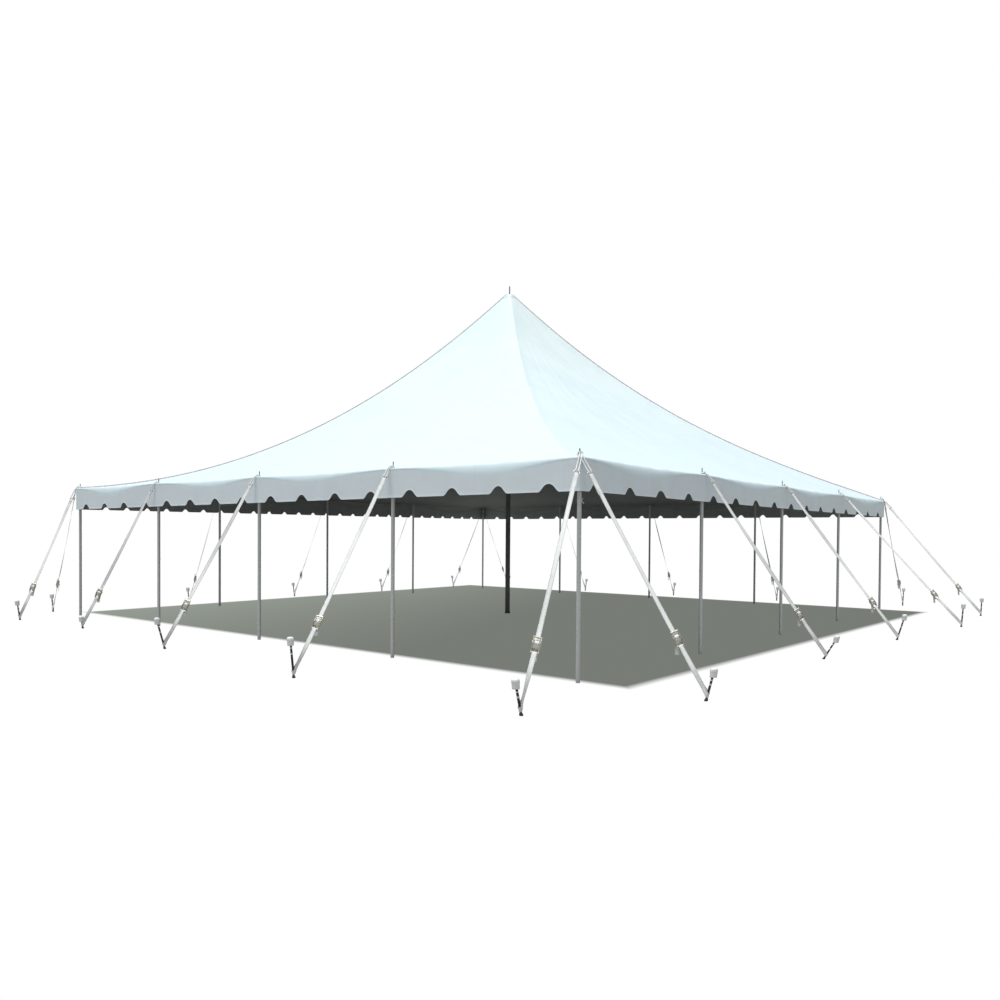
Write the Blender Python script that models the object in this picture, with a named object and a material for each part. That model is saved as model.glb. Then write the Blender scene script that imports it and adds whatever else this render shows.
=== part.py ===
"""A white pole tent, four bays to a side, that rises to one peak on a centre pole.

Units are metres. The origin is at the foot of the centre pole, +Z is up, -Y is the south side
and +X the east side. A place on a side is given by three numbers: along it (from west to east
on the south side, and on round the tent the same way), out from its line of poles, and up.
"""

import math

import bmesh
import bpy
from mathutils import Matrix, Vector

# The plan and the heights
BAY = 3.048
BAYS = 4
HALF = BAY * BAYS / 2
EAVE = 2.56
PEAK = 6.84
CLEARANCE = 0.0003

# The canopy: its skin, the flat strip over the poles, its fold and the sag of each bay's edge
SKIN = 0.010
FLAT = 0.050
RIM = 0.070
FOLD_DROP = 0.015
BAY_SAG = 0.015
BAY_SAG_REACH = 0.90
PEAK_PATCH = 0.065
CUTTER_REACH = 0.10
STRIPS_PER_BAY = 4
RING_STEPS = (0.05, 0.11, 0.19, 0.28, 0.38, 0.49, 0.61, 0.73, 0.84, 0.93)

# For each hip, how far it sags below a straight line, and how much of that lies nearer the peak
HIP_SAG = {"sw": (0.99, 0.05), "se": (0.82, 0.12), "ne": (0.65, 0.20), "nw": (0.82, 0.12)}

# The valance: a strip with bell-shaped notches, and the height of its lower edge at each corner
VALANCE_SKIN = 0.006
VALANCE_BOTTOM = {"sw": 2.13, "se": 2.16, "ne": 2.17, "nw": 2.21}
NOTCH_STEPS = 6

# For each side, its first notch from the side's start, the pitch and number of its notches, and
# their width and depth
NOTCHES = {
    "south": (0.41, 0.76, 16, 0.26, 0.10),
    "east": (0.22, 0.765, 16, 0.26, 0.10),
    "north": (0.53, 0.586, 20, 0.19, 0.07),
    "west": (0.476, 0.43, 27, 0.15, 0.06),
}

# Poles and their pins
POLE_RADIUS = 0.0254
PIN_RADIUS = 0.008
PIN_RISE = 0.085
CENTRE_RADIUS = 0.0508
CENTRE_PIN_RADIUS = 0.0127
CENTRE_PIN_RISE = 0.19
PIN_PLAY = 0.0005
CHAMFER = 0.003
POLE_SIDES = 12
RING_START = 0.25

# Straps: flat webbing from a pin, over the fold of the canopy, to a stake
STRAP_WIDTH = 0.050
STRAP_THICKNESS = 0.004
COLLAR_RADIUS = 0.030
COLLAR_THICKNESS = 0.005
BAND_TAIL = 0.018
FOLD_GAP = 0.008
FOLD_DEPTH = 0.013
LOOP_LOW = 0.040
LOOP_HIGH = 0.090
LOOP_WALL = 0.0045
BORE_PAST_LOOP = 0.03
RATCHET = (0.200, 0.080, 0.046)
RATCHET_PLACE = 0.215

# Stakes, above the ground
STAKE_RADIUS = 0.0127
STAKE_SIDES = 10
CAP_HEIGHT = 0.10
CAP_RADIUS = 0.040

# A stake cap's rings, from its rim up: shares of its height below the top, and of its radius
CAP_RINGS = ((1.0, 0.75), (0.6, 1.0), (0.15, 0.9), (0.0, 0.5))

# Edges sharper than these angles stay sharp, in degrees
ROUND_EDGE = 40
CLOTH_EDGE = 30

# Points nearer than this are made one after a cut
MERGE = 0.00001

# For each strap of a side, in order from one corner to the next: the stake's distance out from
# the poles, its drift along the side, its height above the ground and its lean out for each
# metre of height
STAKES = {
    "south": (
        (1.13, 0.10, 0.38, 0.15),
        (1.03, -0.60, 0.22, 0.15),
        (1.48, -0.08, 0.46, 0.28),
        (1.81, 0.33, 0.48, 0.11),
        (1.74, 0.58, 0.36, 0.28),
    ),
    "east": (
        (1.60, -0.04, 0.35, 0.28),
        (1.55, 0.62, 0.34, 0.60),
        (1.77, 0.53, 0.43, 0.30),
        (2.19, 0.47, 0.45, 0.08),
        (2.06, 0.27, 0.40, 0.05),
    ),
    "north": (
        (2.10, 0.0, 0.45, 0.20),
        (1.50, 0.0, 0.38, 0.20),
        (1.40, 0.0, 0.38, 0.20),
        (1.35, 0.0, 0.38, 0.20),
        (1.27, 0.0, 0.38, 0.20),
    ),
    "west": (
        (1.27, 0.0, 0.38, 0.20),
        (1.32, 0.0, 0.38, 0.20),
        (1.38, 0.0, 0.38, 0.20),
        (1.30, 0.0, 0.38, 0.20),
        (1.25, 0.0, 0.38, 0.20),
    ),
}
SIDES = tuple(STAKES)
CORNERS = ("sw", "se", "ne", "nw")


def clear_scene():
    for obj in list(bpy.data.objects):
        bpy.data.objects.remove(obj, do_unlink=True)


def material(name, colour, roughness, metallic):
    made = bpy.data.materials.new(name)
    made.use_nodes = True
    shader = made.node_tree.nodes["Principled BSDF"]
    shader.inputs["Base Color"].default_value = (*colour, 1.0)
    shader.inputs["Roughness"].default_value = roughness
    shader.inputs["Metallic"].default_value = metallic
    made.diffuse_color = (*colour, 1.0)
    return made


def canopy_vinyl(name):
    return material(name + "_vinyl", (0.86, 0.93, 0.94), 0.45, 0.0)


def pole_steel(name):
    return material(name + "_steel", (0.30, 0.31, 0.31), 0.45, 0.8)


def dark_steel(name):
    return material(name + "_dark_steel", (0.035, 0.038, 0.036), 0.5, 0.3)


def webbing(name):
    return material(name + "_webbing", (0.85, 0.86, 0.85), 0.8, 0.0)


def stake_steel(name):
    return material(name + "_stake", (0.05, 0.05, 0.05), 0.6, 0.4)


def object_from(name, bm, finish, smooth_angle=None):
    """The mesh as one named object, with its faces pointing out."""
    bmesh.ops.recalc_face_normals(bm, faces=bm.faces)
    mesh = bpy.data.meshes.new(name)
    bm.to_mesh(mesh)
    bm.free()
    if smooth_angle:
        mesh.shade_smooth()
        mesh.set_sharp_from_angle(angle=math.radians(smooth_angle))
    if finish:
        mesh.materials.append(finish)
    obj = bpy.data.objects.new(name, mesh)
    bpy.context.collection.objects.link(obj)
    return obj


def fused(base, additions, cutters):
    """Joins the additions to the base, takes the cutters out of it, and removes both."""
    tools = [(tool, "UNION") for tool in additions]
    tools += [(tool, "DIFFERENCE") for tool in cutters]
    for tool, operation in tools:
        tool.hide_render = True
        tool.display_type = "WIRE"
        modifier = base.modifiers.new(tool.name, "BOOLEAN")
        modifier.operation = operation
        modifier.object = tool
    bpy.context.view_layer.update()
    evaluated = base.evaluated_get(bpy.context.evaluated_depsgraph_get())
    mesh = bpy.data.meshes.new_from_object(evaluated)
    mesh.name = base.name
    bm = bmesh.new()
    bm.from_mesh(mesh)
    bmesh.ops.dissolve_degenerate(bm, dist=MERGE, edges=bm.edges)
    bmesh.ops.triangulate(bm, faces=bm.faces)
    bm.to_mesh(mesh)
    bm.free()
    base.modifiers.clear()
    base.data = mesh
    for tool, _ in tools:
        bpy.data.objects.remove(tool, do_unlink=True)
    return base


def ring_of(bm, centre, radius, sides):
    turns = [math.tau * (i + RING_START) / sides for i in range(sides)]
    return [bm.verts.new(centre + Vector((math.cos(a), math.sin(a), 0)) * radius) for a in turns]


def bridge(bm, low, high):
    for i in range(len(low)):
        j = (i + 1) % len(low)
        bm.faces.new((low[i], low[j], high[j], high[i]))


def turned(name, rings, sides, finish=None):
    """A round body from its level rings, each a centre and a radius, from the lowest up."""
    bm = bmesh.new()
    made = [ring_of(bm, Vector(centre), radius, sides) for centre, radius in rings]
    for low, high in zip(made, made[1:]):
        bridge(bm, low, high)
    bm.faces.new(made[0])
    bm.faces.new(made[-1])
    return object_from(name, bm, finish, ROUND_EDGE)


def on_side(side, along, out, height):
    """A point given by its side's own three numbers."""
    south = Vector((along, -(HALF + out), height))
    return Matrix.Rotation(math.radians(90) * SIDES.index(side), 3, "Z") @ south


def pole_along(number):
    """How far along its side a pole stands, counted from 0 at the first corner."""
    return BAY * number - HALF


# The canopy


def hip_height(spread, sag, skew):
    """The canopy's height at a share of the way from the peak to the poles."""
    bend = 4 * spread * (1 - spread)
    return PEAK + (EAVE - PEAK) * spread - bend * (sag + skew * (1 - 2 * spread))


def bay_dip(share, inward):
    """How far the edge sags between two poles, fading towards the peak."""
    across = math.sin(math.pi * (share + 1) * BAYS / 2) ** 2
    return BAY_SAG * across * math.exp(-max(0.0, inward) / BAY_SAG_REACH)


def canopy_point(side, share, out):
    """A point of the canopy's upper face. The share runs from -1 at a side's start to 1."""
    reach = HALF + out
    if reach <= PEAK_PATCH:
        round_off = PEAK_PATCH / math.hypot(1, share)
        return on_side(side, share * round_off, round_off - HALF, PEAK)
    spread = min(1.0, (reach - PEAK_PATCH) / (HALF - FLAT - PEAK_PATCH))
    first = SIDES.index(side)
    start = Vector(HIP_SAG[CORNERS[first]])
    end = Vector(HIP_SAG[CORNERS[(first + 1) % 4]])
    height = hip_height(spread, *start.lerp(end, (share + 1) / 2)) - bay_dip(share, -out)
    if out > FLAT:
        height -= FOLD_DROP
    return on_side(side, share * reach, out, height)


def canopy_shares():
    strips = BAYS * STRIPS_PER_BAY
    return [2 * i / strips - 1 for i in range(strips)]


def canopy_ring(bm, out, drop):
    down = Vector((0, 0, drop))
    places = [(side, share) for side in SIDES for share in canopy_shares()]
    return [bm.verts.new(canopy_point(side, share, out) - down) for side, share in places]


def pin_cutter(name, foot, radius):
    up = Vector((0, 0, CUTTER_REACH))
    return turned(name, ((foot - up, radius), (foot + up, radius)), POLE_SIDES)


def roof_canopy():
    outs = [PEAK_PATCH - HALF, *(HALF * step - HALF for step in RING_STEPS), -FLAT, FLAT, RIM]
    bm = bmesh.new()
    upper = [canopy_ring(bm, out, 0.0) for out in outs]
    lower = [canopy_ring(bm, out, SKIN) for out in outs]
    for first, second in zip(upper, upper[1:]):
        bridge(bm, first, second)
    for first, second in zip(lower, lower[1:]):
        bridge(bm, second, first)
    bridge(bm, upper[-1], lower[-1])
    bm.faces.new(upper[0])
    bm.faces.new(lower[0])
    roof = object_from("roof_canopy", bm, canopy_vinyl("roof_canopy"), CLOTH_EDGE)
    holes = [
        pin_cutter(f"pin_hole_{side}_{number}", pole_top(side, number), PIN_RADIUS + PIN_PLAY)
        for side in SIDES
        for number in range(BAYS)
    ]
    peak = Vector((0, 0, PEAK))
    holes.append(pin_cutter("peak_hole", peak, CENTRE_PIN_RADIUS + PIN_PLAY))
    return fused(roof, [], holes)


def valance_bottom(side, along):
    """The height of a valance's lower edge, with its notches."""
    first, pitch, count, width, depth = NOTCHES[side]
    corner = SIDES.index(side)
    start = VALANCE_BOTTOM[CORNERS[corner]]
    end = VALANCE_BOTTOM[CORNERS[(corner + 1) % 4]]
    straight = start + (end - start) * (along / (HALF + RIM) + 1) / 2
    turns = (along + HALF - first) / pitch
    away = abs(turns - min(count - 1, max(0, round(turns)))) * pitch
    if away >= width / 2:
        return straight
    return straight + depth * (0.5 + 0.5 * math.cos(math.tau * away / width))


def valance_top(along):
    """The underside of the canopy's rim, straight between its corner points."""
    shares = [*canopy_shares(), 1.0]
    reach = HALF + RIM
    share = min(1.0, max(-1.0, along / reach))
    after = next(i for i, high in enumerate(shares) if high >= share)
    low, high = shares[max(0, after - 1)], shares[after]
    mix = (share - low) / (high - low) if high > low else 0.0
    dip = bay_dip(low, 0) * (1 - mix) + bay_dip(high, 0) * mix
    return EAVE - FOLD_DROP - SKIN - CLEARANCE - dip


def valance_columns(side):
    """The places along a valance where its upper or lower edge bends, to the millimetre."""
    first, pitch, count, width, _ = NOTCHES[side]
    places = {share * (HALF + RIM) for share in canopy_shares()[1:]}
    for notch in range(count):
        start = pitch * notch + first - width / 2 - HALF
        places |= {start + width * i / NOTCH_STEPS for i in range(NOTCH_STEPS + 1)}
    return sorted({round(place, 3) for place in places})


def valance(side):
    """One side's strip. Each starts behind the end of the one before it."""
    start = -(HALF + RIM - VALANCE_SKIN - CLEARANCE)
    bm = bmesh.new()
    rings = []
    for along in [start, *valance_columns(side), HALF + RIM]:
        low, high = valance_bottom(side, along), valance_top(along)
        back, front = RIM - VALANCE_SKIN, RIM
        corners = ((back, low), (front, low), (front, high), (back, high))
        rings.append([bm.verts.new(on_side(side, along, out, z)) for out, z in corners])
    for first, second in zip(rings, rings[1:]):
        bridge(bm, first, second)
    bm.faces.new(rings[0])
    bm.faces.new(rings[-1])
    return object_from(f"valance_{side}", bm, canopy_vinyl(f"valance_{side}"))


# The poles


def pole_top(side, number):
    return on_side(side, pole_along(number), 0, EAVE)


def pole(name, foot, radius, shoulder, pin_radius, tip, finish):
    def at(height):
        return Vector((foot.x, foot.y, height))

    rings = (
        (at(0), radius),
        (at(shoulder), radius),
        (at(shoulder), pin_radius),
        (at(tip - CHAMFER), pin_radius),
        (at(tip), pin_radius - CHAMFER),
    )
    return turned(name, rings, POLE_SIDES, finish)


def side_pole(name, side, number):
    """A side pole, whose shoulder meets the canopy where the bays' sag brings it lowest."""
    dip_slope = bay_dip(2 / (BAYS * STRIPS_PER_BAY) - 1, 0) / (BAY / STRIPS_PER_BAY)
    reach = POLE_RADIUS * (math.sqrt(2) if number == 0 else 1)
    shoulder = EAVE - SKIN - reach * dip_slope - CLEARANCE
    foot = on_side(side, pole_along(number), 0, 0)
    tip = EAVE + PIN_RISE
    return pole(name, foot, POLE_RADIUS, shoulder, PIN_RADIUS, tip, pole_steel(name))


def side_poles():
    for index, side in enumerate(SIDES):
        side_pole(f"pole_corner_{CORNERS[index]}", side, 0)
        for number in range(1, BAYS):
            side_pole(f"pole_{side}_{number}", side, number)


def centre_pole():
    name = "centre_pole"
    shoulder = PEAK - SKIN - CLEARANCE
    tip = PEAK + CENTRE_PIN_RISE
    finish = dark_steel(name)
    return pole(name, Vector((0, 0, 0)), CENTRE_RADIUS, shoulder, CENTRE_PIN_RADIUS, tip, finish)


# The stakes


def stake_axis(side, number, height):
    """The middle of a stake at a height. A stake leans straight out from its side."""
    out, drift, _, lean = STAKES[side][number]
    return on_side(side, pole_along(number) + drift, out + lean * height, height)


def stake(name, side, number):
    top = STAKES[side][number][2]
    levels = [(0.0, STAKE_RADIUS), (top - CAP_HEIGHT, STAKE_RADIUS)]
    levels += [(top - CAP_HEIGHT * below, CAP_RADIUS * wide) for below, wide in CAP_RINGS]
    rings = [(stake_axis(side, number, height), radius) for height, radius in levels]
    return turned(name, rings, STAKE_SIDES, stake_steel(name))


def stakes():
    for index, side in enumerate(SIDES):
        stake(f"stake_corner_{CORNERS[index]}_{side}", side, 0)
        for number in range(1, BAYS):
            stake(f"stake_{side}_{number}", side, number)
        stake(f"stake_corner_{CORNERS[(index + 1) % 4]}_{side}", side, BAYS)


# The straps


def strap_route(side, number):
    """The middle line of a strap, from behind its pin to the wall of its loop at the stake."""
    along = pole_along(number)
    lift = EAVE + CLEARANCE + STRAP_THICKNESS / 2
    loop_height = (LOOP_LOW + LOOP_HIGH) / 2
    out, drift, _, lean = STAKES[side][number]
    inset = STAKE_RADIUS + PIN_PLAY + LOOP_WALL / 2
    end_out = out + lean * loop_height - inset
    return [
        on_side(side, along, -BAND_TAIL, lift),
        on_side(side, along, FLAT + STRAP_THICKNESS / 2, lift),
        on_side(side, along, RIM + FOLD_GAP, lift - FOLD_DEPTH),
        on_side(side, along + drift, end_out, loop_height),
    ]


def strap_sections(side, route):
    """The webbing's corner points across each point of its route."""
    level = on_side(side, 1, 0, 0) - on_side(side, 0, 0, 0)
    plan = route[-1] - route[-2]
    skewed = Vector((-plan.y, plan.x, 0)).normalized()
    if skewed.dot(level) < 0:
        skewed = -skewed
    widths = [level, level, (level + skewed).normalized(), skewed]
    runs = [b - a for a, b in zip(route, route[1:])]
    sections = []
    for i, (point, width) in enumerate(zip(route, widths)):
        before = runs[max(0, i - 1)].normalized()
        after = runs[min(i, len(runs) - 1)].normalized()
        face = (before + after).normalized().cross(width).normalized()
        stretch = 1 / math.cos(before.angle(after) / 2)
        half_width = width * STRAP_WIDTH / 2
        half_face = face * STRAP_THICKNESS / 2 * stretch
        signs = ((1, 1), (-1, 1), (-1, -1), (1, -1))
        sections.append([point + half_width * a + half_face * b for a, b in signs])
    return sections


def strap_band(name, side, number, finish=None):
    bm = bmesh.new()
    sections = strap_sections(side, strap_route(side, number))
    rings = [[bm.verts.new(corner) for corner in section] for section in sections]
    for first, second in zip(rings, rings[1:]):
        bridge(bm, first, second)
    bm.faces.new(rings[0])
    bm.faces.new(rings[-1])
    return object_from(name, bm, finish)


def ratchet_block(name, side, number):
    """The ratchet's outer block, centred on the strap about a fifth of the way up it."""
    route = strap_route(side, number)
    run = route[-2] - route[-1]
    length, width, thickness = RATCHET
    up_strap = run.normalized()
    across = Vector((-run.y, run.x, 0)).normalized()
    outward = across.cross(up_strap)
    centre = route[-1] + run * RATCHET_PLACE
    bm = bmesh.new()
    bmesh.ops.create_cube(bm, size=1)
    turn = Matrix((up_strap, across, outward)).transposed().to_4x4()
    size = Matrix.Diagonal((length, width, thickness, 1))
    bmesh.ops.transform(bm, matrix=Matrix.Translation(centre) @ turn @ size, verts=bm.verts)
    return object_from(name, bm, None)


def stake_loop(name, side, number):
    levels = (LOOP_LOW, LOOP_HIGH)
    radius = STAKE_RADIUS + PIN_PLAY + LOOP_WALL
    return turned(name, [(stake_axis(side, number, z), radius) for z in levels], STAKE_SIDES)


def stake_bore(name, side, number):
    levels = (LOOP_LOW - BORE_PAST_LOOP, LOOP_HIGH + BORE_PAST_LOOP)
    radius = STAKE_RADIUS + PIN_PLAY
    return turned(name, [(stake_axis(side, number, z), radius) for z in levels], STAKE_SIDES)


def pin_collar(name, side, number):
    foot = pole_top(side, number)
    low = foot + Vector((0, 0, CLEARANCE + STRAP_THICKNESS / 2))
    high = low + Vector((0, 0, COLLAR_THICKNESS))
    return turned(name, ((low, COLLAR_RADIUS), (high, COLLAR_RADIUS)), POLE_SIDES)


def strap(name, legs):
    """One strap for a middle pole, or the two that share a corner's pin."""
    band = strap_band(name, *legs[0], webbing(name))
    additions = [strap_band(f"{name}_band_{side}", side, number) for side, number in legs[1:]]
    additions.append(pin_collar(f"{name}_collar", *legs[0]))
    cutters = [pin_cutter(f"{name}_pin", pole_top(*legs[0]), PIN_RADIUS + PIN_PLAY)]
    for side, number in legs:
        additions.append(ratchet_block(f"{name}_ratchet_{side}", side, number))
        additions.append(stake_loop(f"{name}_loop_{side}", side, number))
        cutters.append(stake_bore(f"{name}_bore_{side}", side, number))
    return fused(band, additions, cutters)


def straps():
    for index, side in enumerate(SIDES):
        before = SIDES[index - 1]
        strap(f"straps_corner_{CORNERS[index]}", [(before, BAYS), (side, 0)])
        for number in range(1, BAYS):
            strap(f"strap_{side}_{number}", [(side, number)])


def main():
    clear_scene()
    roof_canopy()
    for side in SIDES:
        valance(side)
    centre_pole()
    side_poles()
    straps()
    stakes()


main()
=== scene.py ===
"""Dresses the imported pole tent: its vinyl canopy and valances, poles, ratchet straps and stakes.

Units are metres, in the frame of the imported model. A place on a side of the tent is given by
three numbers: along it, beyond its line of pins, and up.
"""

from math import atan2, copysign, cos, exp, floor, hypot, pi, radians, sin, sqrt, tau
from types import SimpleNamespace

import bmesh
import bpy
from bpy.props import FloatProperty, FloatVectorProperty, IntProperty, PointerProperty
from mathutils import Matrix, Quaternion, Vector


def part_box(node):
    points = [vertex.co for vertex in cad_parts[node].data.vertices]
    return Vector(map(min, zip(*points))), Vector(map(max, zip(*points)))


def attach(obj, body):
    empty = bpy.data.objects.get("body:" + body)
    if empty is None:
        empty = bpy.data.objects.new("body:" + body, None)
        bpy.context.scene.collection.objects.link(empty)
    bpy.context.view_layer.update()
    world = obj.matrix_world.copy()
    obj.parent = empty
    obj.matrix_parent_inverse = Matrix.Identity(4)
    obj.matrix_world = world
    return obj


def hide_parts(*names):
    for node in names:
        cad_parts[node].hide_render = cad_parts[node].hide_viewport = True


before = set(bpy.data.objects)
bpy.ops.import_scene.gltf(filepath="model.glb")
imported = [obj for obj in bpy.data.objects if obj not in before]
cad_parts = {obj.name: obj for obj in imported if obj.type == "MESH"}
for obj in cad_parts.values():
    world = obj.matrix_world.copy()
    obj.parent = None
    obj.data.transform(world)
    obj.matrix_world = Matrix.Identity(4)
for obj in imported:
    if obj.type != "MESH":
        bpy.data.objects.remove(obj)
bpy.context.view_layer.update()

bl_info = {
    "name": "Pole tent",
    "version": (1, 0, 0),
    "blender": (4, 5, 0),
    "location": "3D View > Sidebar > Pole tent",
    "description": "Canopy, valances, poles, ratchet straps and stakes of a white pole tent",
    "category": "Object",
}

SIDES = ("south", "east", "north", "west")
CORNERS = ("sw", "se", "ne", "nw")
BAYS = 4
UP = Vector((0, 0, 1))
CROSSWISE = Vector((0, 1, 0))
QUARTER = pi / 2

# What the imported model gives
PIN_RISE = 0.085
CENTRE_PIN_RISE = 0.19
POLE_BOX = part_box("pole_corner_se")
HALF = (POLE_BOX[0].x + POLE_BOX[1].x) / 2
BAY = 2 * HALF / BAYS
EAVE = POLE_BOX[1].z - PIN_RISE
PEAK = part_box("centre_pole")[1].z - CENTRE_PIN_RISE

# A pole's solid has flat sides, so its box has this share of the tube's width
FLAT_SIDES = cos(radians(7.5))

# The poles' plugs and pins, and how high their two lengths join
PLUG_HEIGHT = 0.014
PIN_RADIUS = 0.008
CENTRE_PIN_RADIUS = 0.0127
JOINT_HEIGHT = 1.14
CENTRE_JOINT_HEIGHT = 3.35

# The canopy's shape, as its solid has it
RIM = 0.070
LAP = 0.0015
PEAK_PATCH = 0.065
BAY_SAG = 0.015
BAY_SAG_REACH = 0.90
HIP_SAGS = (0.99, 0.82, 0.65, 0.82)
HIP_SKEWS = (0.05, 0.12, 0.20, 0.12)
VALANCE_BOTTOM = (2.13, 2.16, 2.17, 2.21)

# Shares of the way down the cloth: the peak's patch, the eave's fold, the hem and the binding
PATCH_END = 0.026
FOLD_START = 0.78
HEM_START = 0.96
BINDING_START = 5 / 6
BINDING_STEP = 0.01

# Folds that fan out from a pin: their rays, how fast they fade, and where they end on the valance
FOLD_RAYS = 9.0
FOLD_FADE = 3.2
PIN_FADE = 70.0
FOLD_END = 0.12

# Slack ripples, each with its share of the height, its waves in radians a metre and its start
RIPPLES = ((1.0, 16.3, 0.7), (0.5, 12.1, 2.1), (0.8, 8.9, 0.0))

# Strain lines: share of the height, and waves in radians from the middle of a side to its end
STRAINS = ((1.0, 12.0 * pi), (0.7, 20.0 * pi))

# How far along a side the eave's fold goes from soft to crisp and back, in metres
UNEVEN_PITCH = 5.5

# The doubled cloth round a pin, from where it starts to thin out to where it ends, and its height
PIN_PATCH = (0.17, 0.20)
PIN_PATCH_RISE = 0.0015

# The rounding of the tent's corners in plan, and how near the rim and the peak it comes
CORNER_ROUND = 0.068
CORNER_REACH = 0.25
PEAK_REACH = 0.4

# For each side: its first notch from its start, the notches' pitch, number, width and depth
NOTCHES = (
    (0.41, 0.76, 16, 0.31, 0.094),
    (0.22, 0.765, 16, 0.27, 0.090),
    (0.53, 0.586, 20, 0.19, 0.07),
    (0.476, 0.43, 27, 0.15, 0.06),
)

# Straps and stakes, as their solids have them
FOLD_OUT = 0.078
CORNER_FOLD = (0.052, 0.058)
FOLD_DROP = 0.0107
LOOP_HEIGHT = 0.065
LOOP_INSET = 0.01545
RATCHET_PLACE = 0.215
RATCHET_SCALE = (1.75, 1.22, 1.5)
AXLE = (0.014, 0.006)
HANDLE_BAR = (0.046, 0.0135)
BOLT = (-0.043, 0.0)
BOLT_RADIUS = 0.0052
RING_ROD = 0.0045
RING_DEPTH = 0.0185
RING_WIDTH = 0.0330
RING_BAR = 0.0245
STAKE_RADIUS = 0.0127
CAP_HEIGHT = 0.10
CAP_RADIUS = 0.040
LOWEST_TAPE = 0.11
LAYER_GAP = 0.0004
STAKE_GAP = 0.0006
STRAP_STOP = 0.020

# The tent's shade painted on the floor: its corners, and half the width of its soft edge
SHADE_CORNERS = ((-6.80, -5.70), (6.70, -6.01), (6.98, 6.57), (-7.66, 7.22))
SHADE_BLUR = 0.09

# Which way the flat of each side's straps is turned, and how high each hip's seam stands
STRAP_FACINGS = {
    "south": (0.62, -0.62, 0.55),
    "east": (0.62, -0.62, 0.55),
    "north": (0.73, 0.55, 0.41),
    "west": (-0.39, -0.88, 0.29),
}
HIP_SEAMS = (1.0, 0.10, 1.0, 1.0)

# The camera, at eye height off the south-east corner, and the sun
CAMERA_PLACE = (11.394, -13.732, 1.636)
CAMERA_TURNS = (-0.6423, -0.0169, 0.0077)
CAMERA_LENS = 29.71
CAMERA_SHIFT = (-0.0494, 0.0517)
SUN_HEADING = (0.05, 0.18, -1.0)
SUN_WIDTH = 32
SUN_COLOUR = (0.96, 0.985, 0.97)
SKY_COLOUR = (0.93, 0.97, 1.0, 1)
WHITE = (1.0, 1.0, 1.0, 1.0)
FLOOR_REACH = 150.0


# Sizes and colours that a user may change


def length(name, description, default):
    return FloatProperty(name=name, description=description, default=default, unit="LENGTH")


def colour(name, description, default):
    return FloatVectorProperty(
        name=name, description=description, default=default, subtype="COLOR", min=0, max=1
    )


class ClothSizes(bpy.types.PropertyGroup):
    thickness: length("Cloth", "Thickness of the coated cloth", 0.0012)
    roll_at_pins: length("Fold at the pins", "Radius of the eave's fold at a pin", 0.022)
    roll_out: length("Fold's width", "How far out the eave's fold reaches in mid-bay", 0.055)
    roll_down: length("Fold's depth", "How far down the eave's fold reaches in mid-bay", 0.170)
    bead: length("Bead", "How far the eave's edge stands out near a pin", 0.005)
    hem: length("Hem", "Depth of the canopy's hem below its fold", 0.028)
    wrinkle: length("Wrinkles", "Height of the folds that fan out from a pin", 0.003)
    ripple: length("Ripples", "Height of the slack ripples in mid-bay", 0.0035)
    strain: length("Strain lines", "Height of the soft lines that run to the peak", 0.0016)
    binding: length("Binding", "Depth of the tape along a valance's edge", 0.014)
    hip_seam: length("Hip seam", "Height of the seam that stands up along each hip", 0.026)
    columns: IntProperty(name="Columns", description="Columns of cloth in a bay", default=46)
    rows: IntProperty(name="Rows", description="Rows of cloth, peak to hem", default=64)


class StrapSizes(bpy.types.PropertyGroup):
    width: length("Webbing width", "Width of the webbing", 0.050)
    thickness: length("Webbing", "Thickness of one layer of webbing", 0.0024)
    sling: length("Sling", "Distance from the eave to a strap's ring", 0.150)
    corner_sling: length("Corner sling", "The same, at a corner", 0.225)
    strand: length("Strand", "Radius of a strand of the sling", 0.008)
    sewn: length("Sewn end", "Length of the strap's doubled end", 0.26)
    tail: length("Tail", "Length of the loose tail at the ratchet", 0.13)
    twist: FloatProperty(name="Twist", description="Turn to and fro, in degrees", default=16.0)


class TentColours(bpy.types.PropertyGroup):
    vinyl: colour("Vinyl", "Outside of the canopy", (0.775, 0.905, 0.965))
    valance: colour("Valances", "Outside of the valances", (0.83, 0.91, 0.965))
    # The two lining colours are painted shade: they are darkened to stand for the shade inside the tent
    lining: colour("Lining", "Inside of the canopy", (0.145, 0.157, 0.150))
    inside: colour("Valance lining", "Inside of the valances", (0.34, 0.36, 0.35))
    hip: colour("Hip seams", "Tape that is sewn along the hips", (0.60, 0.57, 0.59))
    webbing: colour("Webbing", "Straps and slings", (0.93, 0.935, 0.925))
    tube: colour("Side poles", "Aluminium of the side poles", (0.63, 0.64, 0.635))
    # The centre pole's dark colour is partly painted shade, for the shade under the canopy
    mast: colour("Centre pole", "Paint of the centre pole", (0.20, 0.21, 0.20))
    zinc: colour("Fittings", "Plated steel of the ratchets", (0.72, 0.70, 0.61))
    rust: colour("Rust", "Worn places of the steel", (0.17, 0.065, 0.030))
    stake: colour("Stakes", "Paint of the stakes", (0.030, 0.030, 0.032))
    cap: colour("Caps", "Plastic of the stake caps", (0.93, 0.935, 0.93))


class StageLight(bpy.types.PropertyGroup):
    sun: FloatProperty(name="Sun", description="Strength of the sun", default=3.2)
    sky: FloatProperty(name="Sky", description="Brightness of the sky", default=0.40)
    ground: colour("Ground", "What the floor throws back", (0.30, 0.30, 0.29))
    shade: colour("Shade", "The floor in the tent's shade", (0.186, 0.205, 0.181))


# Plain arithmetic that works on numbers and, through Math nodes, on fields


def arithmetic(operation, swapped=False):
    """A method that joins a field and other values in a Math node."""

    def work(*values):
        return combined(operation, *(reversed(values) if swapped else values))

    return work


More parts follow.
